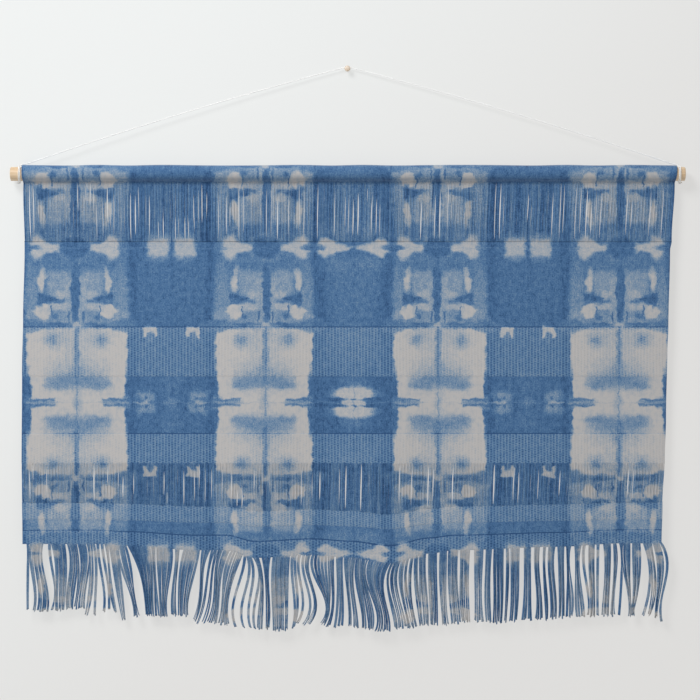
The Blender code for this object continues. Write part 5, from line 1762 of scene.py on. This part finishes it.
class WeaveGroups:
    """The shared groups that draw threads: plain weave, chain weave, plied yarn and wood grain."""

    def plain(self) -> bpy.types.NodeTree:
        """Plain weave: warp and weft by turns on top, each a rounded rib of half a pitch."""
        group = SharedGroup(
            "plain_weave", {"weave": "Vector", "warp_mm": "Float", "weft_mm": "Float"}, {"height": "Float"}
        )
        s, given = group.sketch, group.given
        across, along, _ = s.split(s.vector("MULTIPLY", given["weave"], (1000.0, 1000.0, 0.0)))
        warp = s.math("MULTIPLY", s.math("DIVIDE", across, given["warp_mm"]), math.pi)
        weft = s.math("MULTIPLY", s.math("DIVIDE", along, given["weft_mm"]), math.pi)
        over = s.math("MULTIPLY", s.math("SINE", warp), s.math("SINE", weft))
        ribs = s.math("ABSOLUTE", s.math("SINE", warp))
        height = s.math("ADD", s.math("MULTIPLY", over, 0.3), s.math("MULTIPLY", ribs, 0.7))
        return group.give(height=height)

    def chain(self, width_mm: float, stitch_mm: float) -> bpy.types.NodeTree:
        """Chain weave: the same heights as the textured bands' own relief.

        Args:
            width_mm: The width of a chain.
            stitch_mm: The height of a stitch.

        Returns:
            The group, with the height, from 0 in a gap to 1 on a crown.
        """
        group = SharedGroup("chain_weave", {"weave": "Vector"}, {"height": "Float"})
        s = group.sketch
        across, down, _ = s.split(s.vector("MULTIPLY", group.given["weave"], (1000.0, 1000.0, 0.0)))
        across = s.math("DIVIDE", across, width_mm)
        groove = s.math("ROUND", across)
        near = s.math("COSINE", s.math("MULTIPLY", s.math("SUBTRACT", across, groove), math.pi))
        near = s.math("MULTIPLY", near, near)
        odd = s.math("MULTIPLY", s.math("ABSOLUTE", s.math("MODULO", groove, 2.0)), 0.5)
        turn = s.math("ADD", s.math("DIVIDE", down, stitch_mm), odd)
        stitch = s.math("COSINE", s.math("MULTIPLY", turn, FULL_TURN))
        depth = s.math("ADD", s.math("MULTIPLY", stitch, 0.4), 0.6)
        return group.give(height=s.math("SUBTRACT", 1.0, s.math("MULTIPLY", near, depth)))

    def plied(self) -> bpy.types.NodeTree:
        """Plied yarn: slanting ribs that run round the strand."""
        group = SharedGroup("yarn_twist", {"weave": "Vector", "lay_mm": "Float"}, {"height": "Float"})
        s, given = group.sketch, group.given
        around, along, _ = s.split(s.vector("MULTIPLY", given["weave"], (1000.0, 1000.0, 0.0)))
        turn = s.math("DIVIDE", s.math("ADD", along, s.math("MULTIPLY", around, 0.8)), given["lay_mm"])
        ribs = s.math("ABSOLUTE", s.math("SINE", s.math("MULTIPLY", turn, math.pi)))
        return group.give(height=ribs)

    def seams(self) -> bpy.types.NodeTree:
        """Thin darker lines along the tops of the seamed bands, where the weave changes."""
        group = SharedGroup("seam_lines", {"weave": "Vector"}, {"mask": "Float"})
        s = group.sketch
        _, down, _ = s.split(s.vector("MULTIPLY", group.given["weave"], (1000.0, 1000.0, 0.0)))
        mask = 0.0
        for name in SEAMED_BANDS:
            top = band_span(name, name)[0] / MM
            away = s.math("ABSOLUTE", s.math("ADD", down, top))
            mask = s.math("ADD", s.remap(away, 1.2, 0.4), mask)
        return group.give(mask=mask)

    def grain(self) -> bpy.types.NodeTree:
        """Wood grain: fine streaks along X, wavy at their edges, with a few darker lines."""
        group = SharedGroup("wood_grain", {"place": "Vector"}, {"grain": "Float"})
        s, place = group.sketch, group.given["place"]
        wide = s.noise(s.vector("MULTIPLY", place, (9.0, 260.0, 260.0)), 3.0, False, "3D")
        fine = s.noise(s.vector("MULTIPLY", place, (40.0, 1500.0, 1500.0)), 2.0, False, "3D")
        grain = s.math("ADD", s.math("MULTIPLY", wide, 0.65), s.math("MULTIPLY", fine, 0.35))
        return group.give(grain=s.remap(grain, 0.35, 0.68))


class Weave(Enum):
    """The kinds of cloth surface that the dyed cotton comes in."""

    PLAIN = "plain"
    CHAIN = "chain"
    YARN = "yarn"


def new_material(name: str) -> tuple[bpy.types.Material, Sketch, bpy.types.Node]:
    """Makes a material with a Principled shader.

    Args:
        name: The material's name.

    Returns:
        The material, its sketch and its Principled node.
    """
    material = bpy.data.materials.new(name)
    material.use_nodes = True
    return material, Sketch(material.node_tree), material.node_tree.nodes["Principled BSDF"]


@dataclass(frozen=True)
class DyedCotton:
    """Indigo dyed cotton in one of its weaves."""

    name: str
    weave: Weave
    shift: float = 0.0
    least_shift: float = 0.2
    tone_reach: float = 0.0
    bump: float = 0.12 * MM
    # Chain weave: the crowns are paler, partly from paler yarn and partly painted highlight, and the gaps are
    # darker with painted shade.
    ridge_pale_yarn_and_highlight: float = 0.21
    gap_painted_shade: float = 0.16
    seam_dark: float = 0.45
    roughness: float = 0.92
    sheen: float = 0.55

    def material(self, groups: dict[str, bpy.types.NodeTree]) -> bpy.types.Material:
        """Makes the finish from the shared groups.

        Args:
            groups: The shared groups by name.

        Returns:
            The material.
        """
        material, s, shader = new_material(self.name)
        place = s.add("TexCoord", {}, "Object")
        weave = s.add("UVMap", {}, uv_map="weave")
        tone = s.add("Attribute", {}, "Fac", attribute_name="tone")
        shift = s.math("ADD", s.math("MULTIPLY", tone, self.tone_reach), self.shift)
        if self.weave is Weave.PLAIN:
            height = s.group(groups["plain"], weave=weave, warp_mm=1.15, weft_mm=0.9)
            seams = s.group(groups["seams"], weave=weave)
            shift = s.math("MULTIPLY_ADD", seams, self.seam_dark, shift)
            # Painted shade between the threads and painted highlight on their crowns: the colour follows the
            # weave's height.
            shift = s.math("ADD", shift, s.remap(height, 0.0, 1.0, 0.06, -0.04))
        elif self.weave is Weave.CHAIN:
            height = s.group(groups["chain"], weave=weave)
            seams = s.group(groups["seams"], weave=weave)
            shift = s.math("MULTIPLY_ADD", seams, self.seam_dark, shift)
            # Painted shade darkens the gaps between the chains; the crowns are paler, partly from paler yarn
            # and partly painted highlight.
            shift = s.math("ADD", shift, s.remap(height, 0.0, 1.0, self.gap_painted_shade, -self.ridge_pale_yarn_and_highlight))
        else:
            height = s.group(groups["plied"], weave=weave, lay_mm=1.6)
            # Painted shade in the grooves between the twist's ribs and painted highlight on the ribs.
            shift = s.math("ADD", shift, s.remap(height, 0.0, 1.0, 0.05, -0.05))
        dye = s.group(groups["dye"], place=place)
        dye = s.math("MULTIPLY_ADD", shift, s.math("ADD", dye, self.least_shift), dye)
        s.tree.links.new(s.group(groups["indigo"], dye=dye), shader.inputs["Base Color"])
        bump = s.add("Bump", {"Strength": 0.7, "Distance": self.bump, "Height": height})
        s.tree.links.new(bump, shader.inputs["Normal"])
        shader.inputs["Roughness"].default_value = self.roughness
        shader.inputs["Specular IOR Level"].default_value = 0.2
        shader.inputs["Sheen Weight"].default_value = self.sheen
        shader.inputs["Sheen Roughness"].default_value = 0.4
        return material


@dataclass(frozen=True)
class Wood:
    """Pale turned wood with a fine grain."""

    name: str
    pale: tuple
    dark: tuple
    roughness: float = 0.46

    def material(self, groups: dict[str, bpy.types.NodeTree]) -> bpy.types.Material:
        """Makes the finish from the shared groups."""
        material, s, shader = new_material(self.name)
        grain = s.group(groups["grain"], place=s.add("TexCoord", {}, "Object"))
        colour = s.tint(grain, linear(*self.dark), linear(*self.pale))
        s.tree.links.new(colour, shader.inputs["Base Color"])
        rough = s.remap(grain, 0.0, 1.0, self.roughness + 0.08, self.roughness - 0.05)
        s.tree.links.new(rough, shader.inputs["Roughness"])
        bump = s.add("Bump", {"Strength": 0.3, "Distance": 0.05 * MM, "Height": grain})
        s.tree.links.new(bump, shader.inputs["Normal"])
        shader.inputs["Specular IOR Level"].default_value = 0.5
        return material


@dataclass(frozen=True)
class PlainCotton:
    """Undyed plied cotton, as the cord's."""

    name: str
    pale: tuple
    dark: tuple

    def material(self, groups: dict[str, bpy.types.NodeTree]) -> bpy.types.Material:
        """Makes the finish from the shared groups."""
        material, s, shader = new_material(self.name)
        weave = s.add("UVMap", {}, uv_map="weave")
        fibres = s.noise(s.vector("MULTIPLY", weave, (2600.0, 900.0, 0.0)), 2.0)
        ribs = s.group(groups["plied"], weave=weave, lay_mm=0.7)
        # Random fibre tone, with painted shade between the plies and painted highlight on their crowns.
        share = s.math("ADD", s.math("MULTIPLY", fibres, 0.6), s.math("MULTIPLY", ribs, 0.5))
        colour = s.tint(share, linear(*self.dark), linear(*self.pale))
        s.tree.links.new(colour, shader.inputs["Base Color"])
        bump = s.add("Bump", {"Strength": 0.5, "Distance": 0.08 * MM, "Height": ribs})
        s.tree.links.new(bump, shader.inputs["Normal"])
        shader.inputs["Roughness"].default_value = 0.9
        shader.inputs["Specular IOR Level"].default_value = 0.2
        return material


@dataclass(frozen=True)
class StudioPaper:
    """The pale studio surfaces, which glow a little so that their tone stays even."""

    name: str
    upper_left: tuple
    lower_right: tuple
    glow: float
    see_through_behind: bool = False

    def material(self) -> bpy.types.Material:
        """Makes the finish: the colour runs from the upper left to the lower right, a painted light falloff
        that is paler towards the key light.
        """
        material, s, shader = new_material(self.name)
        x, _, z = s.split(s.add("TexCoord", {}, "Object"))
        # Painted light: the colour grows darker from the upper left to the lower right, as the key light's
        # falloff would, and the surface glows as well as being lit.
        share = s.remap(s.math("SUBTRACT", x, z), -0.5, 1.1, soft=True)
        colour = s.tint(share, linear(*self.upper_left), linear(*self.lower_right))
        s.tree.links.new(colour, shader.inputs["Emission Color"])
        lit = s.tint(1.0 - self.glow, (0.0, 0.0, 0.0, 1.0), colour)
        s.tree.links.new(lit, shader.inputs["Base Color"])
        shader.inputs["Emission Strength"].default_value = self.glow
        shader.inputs["Roughness"].default_value = 1.0
        shader.inputs["Specular IOR Level"].default_value = 0.0
        if self.see_through_behind:
            behind = s.add("NewGeometry", {}, "Backfacing")
            clear = s.add("BsdfTransparent", {})
            mixed = s.add("MixShader", {0: behind, 1: shader.outputs[0], 2: clear})
            output = material.node_tree.nodes["Material Output"].inputs[0]
            s.tree.links.new(mixed, output)
        return material


KEY_POWER = 95.0
FILL_POWER = 16.0
SURROUND_STRENGTH = 0.30


def shared_groups() -> dict[str, bpy.types.NodeTree]:
    """Makes every shared node group once."""
    dyes, weaves = DyeGroups(), WeaveGroups()
    chain = TexturedBand("hem", WovenCloth())
    return {
        "dye": dyes.dye(),
        "indigo": dyes.indigo(),
        "plain": weaves.plain(),
        "chain": weaves.chain(chain.chain_width / MM, chain.stitch_height / MM),
        "plied": weaves.plied(),
        "seams": weaves.seams(),
        "grain": weaves.grain(),
    }


def main() -> None:
    logging.basicConfig(level=logging.INFO, format="%(name)s: %(message)s")
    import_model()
    # The backdrop and the floor glow, and carry painted light that grows darker from the upper left to the
    # lower right.
    backdrop = StudioPaper("wall_paint_and_painted_light", (238, 240, 239), (230, 229, 227), 0.70, True)
    floor = StudioPaper("floor_paint_and_painted_light", (226, 226, 224), (214, 214, 212), 0.15)
    Studio().build(backdrop.material(), floor.material())
    log.info("studio done")
    groups = shared_groups()
    plain = DyedCotton("plain_dyed_cotton", Weave.PLAIN).material(groups)
    chain = DyedCotton("chain_dyed_cotton", Weave.CHAIN, shift=-0.02).material(groups)
    hem = DyedCotton("hem_dyed_cotton", Weave.CHAIN, shift=0.08).material(groups)
    ends = DyedCotton("dyed_warp_ends", Weave.YARN, tone_reach=0.13, sheen=0.04).material(groups)
    strands = DyedCotton("dyed_fringe", Weave.YARN, shift=-0.07, tone_reach=0.15, sheen=0.04).material(groups)
    pine = Wood("pale_pine", (233, 209, 178), (206, 174, 134)).material(groups)
    turned = Wood("turned_beech", (238, 223, 206), (214, 192, 166)).material(groups)
    cotton = PlainCotton("white_cord_cotton", (255, 255, 254), (247, 245, 240)).material(groups)
    log.info("finishes done")
    Cord().build(cotton)
    Peg().build(turned)
    Rod().build(pine)
    cloth = WovenCloth()
    woven = cloth.build(plain)
    with_cloth = [
        TexturedBand(name, cloth).build(chain)
        for name in ("textured_upper", "textured_middle", "textured_lower")
    ]
    with_cloth.append(TexturedBand("hem", cloth).build(hem))
    with_cloth.append(WarpEnds("open_upper", UPPER_GAPS, reach_up=1.2 * MM, gap_share=0.8).build(ends))
    with_cloth.append(WarpEnds("open_lower", LOWER_GAPS, seed=9, gap_share=0.72).build(ends))
    with_cloth.append(Fringe().build(strands))
    log.info("cloth done")


if __name__ == "__main__":
    main()
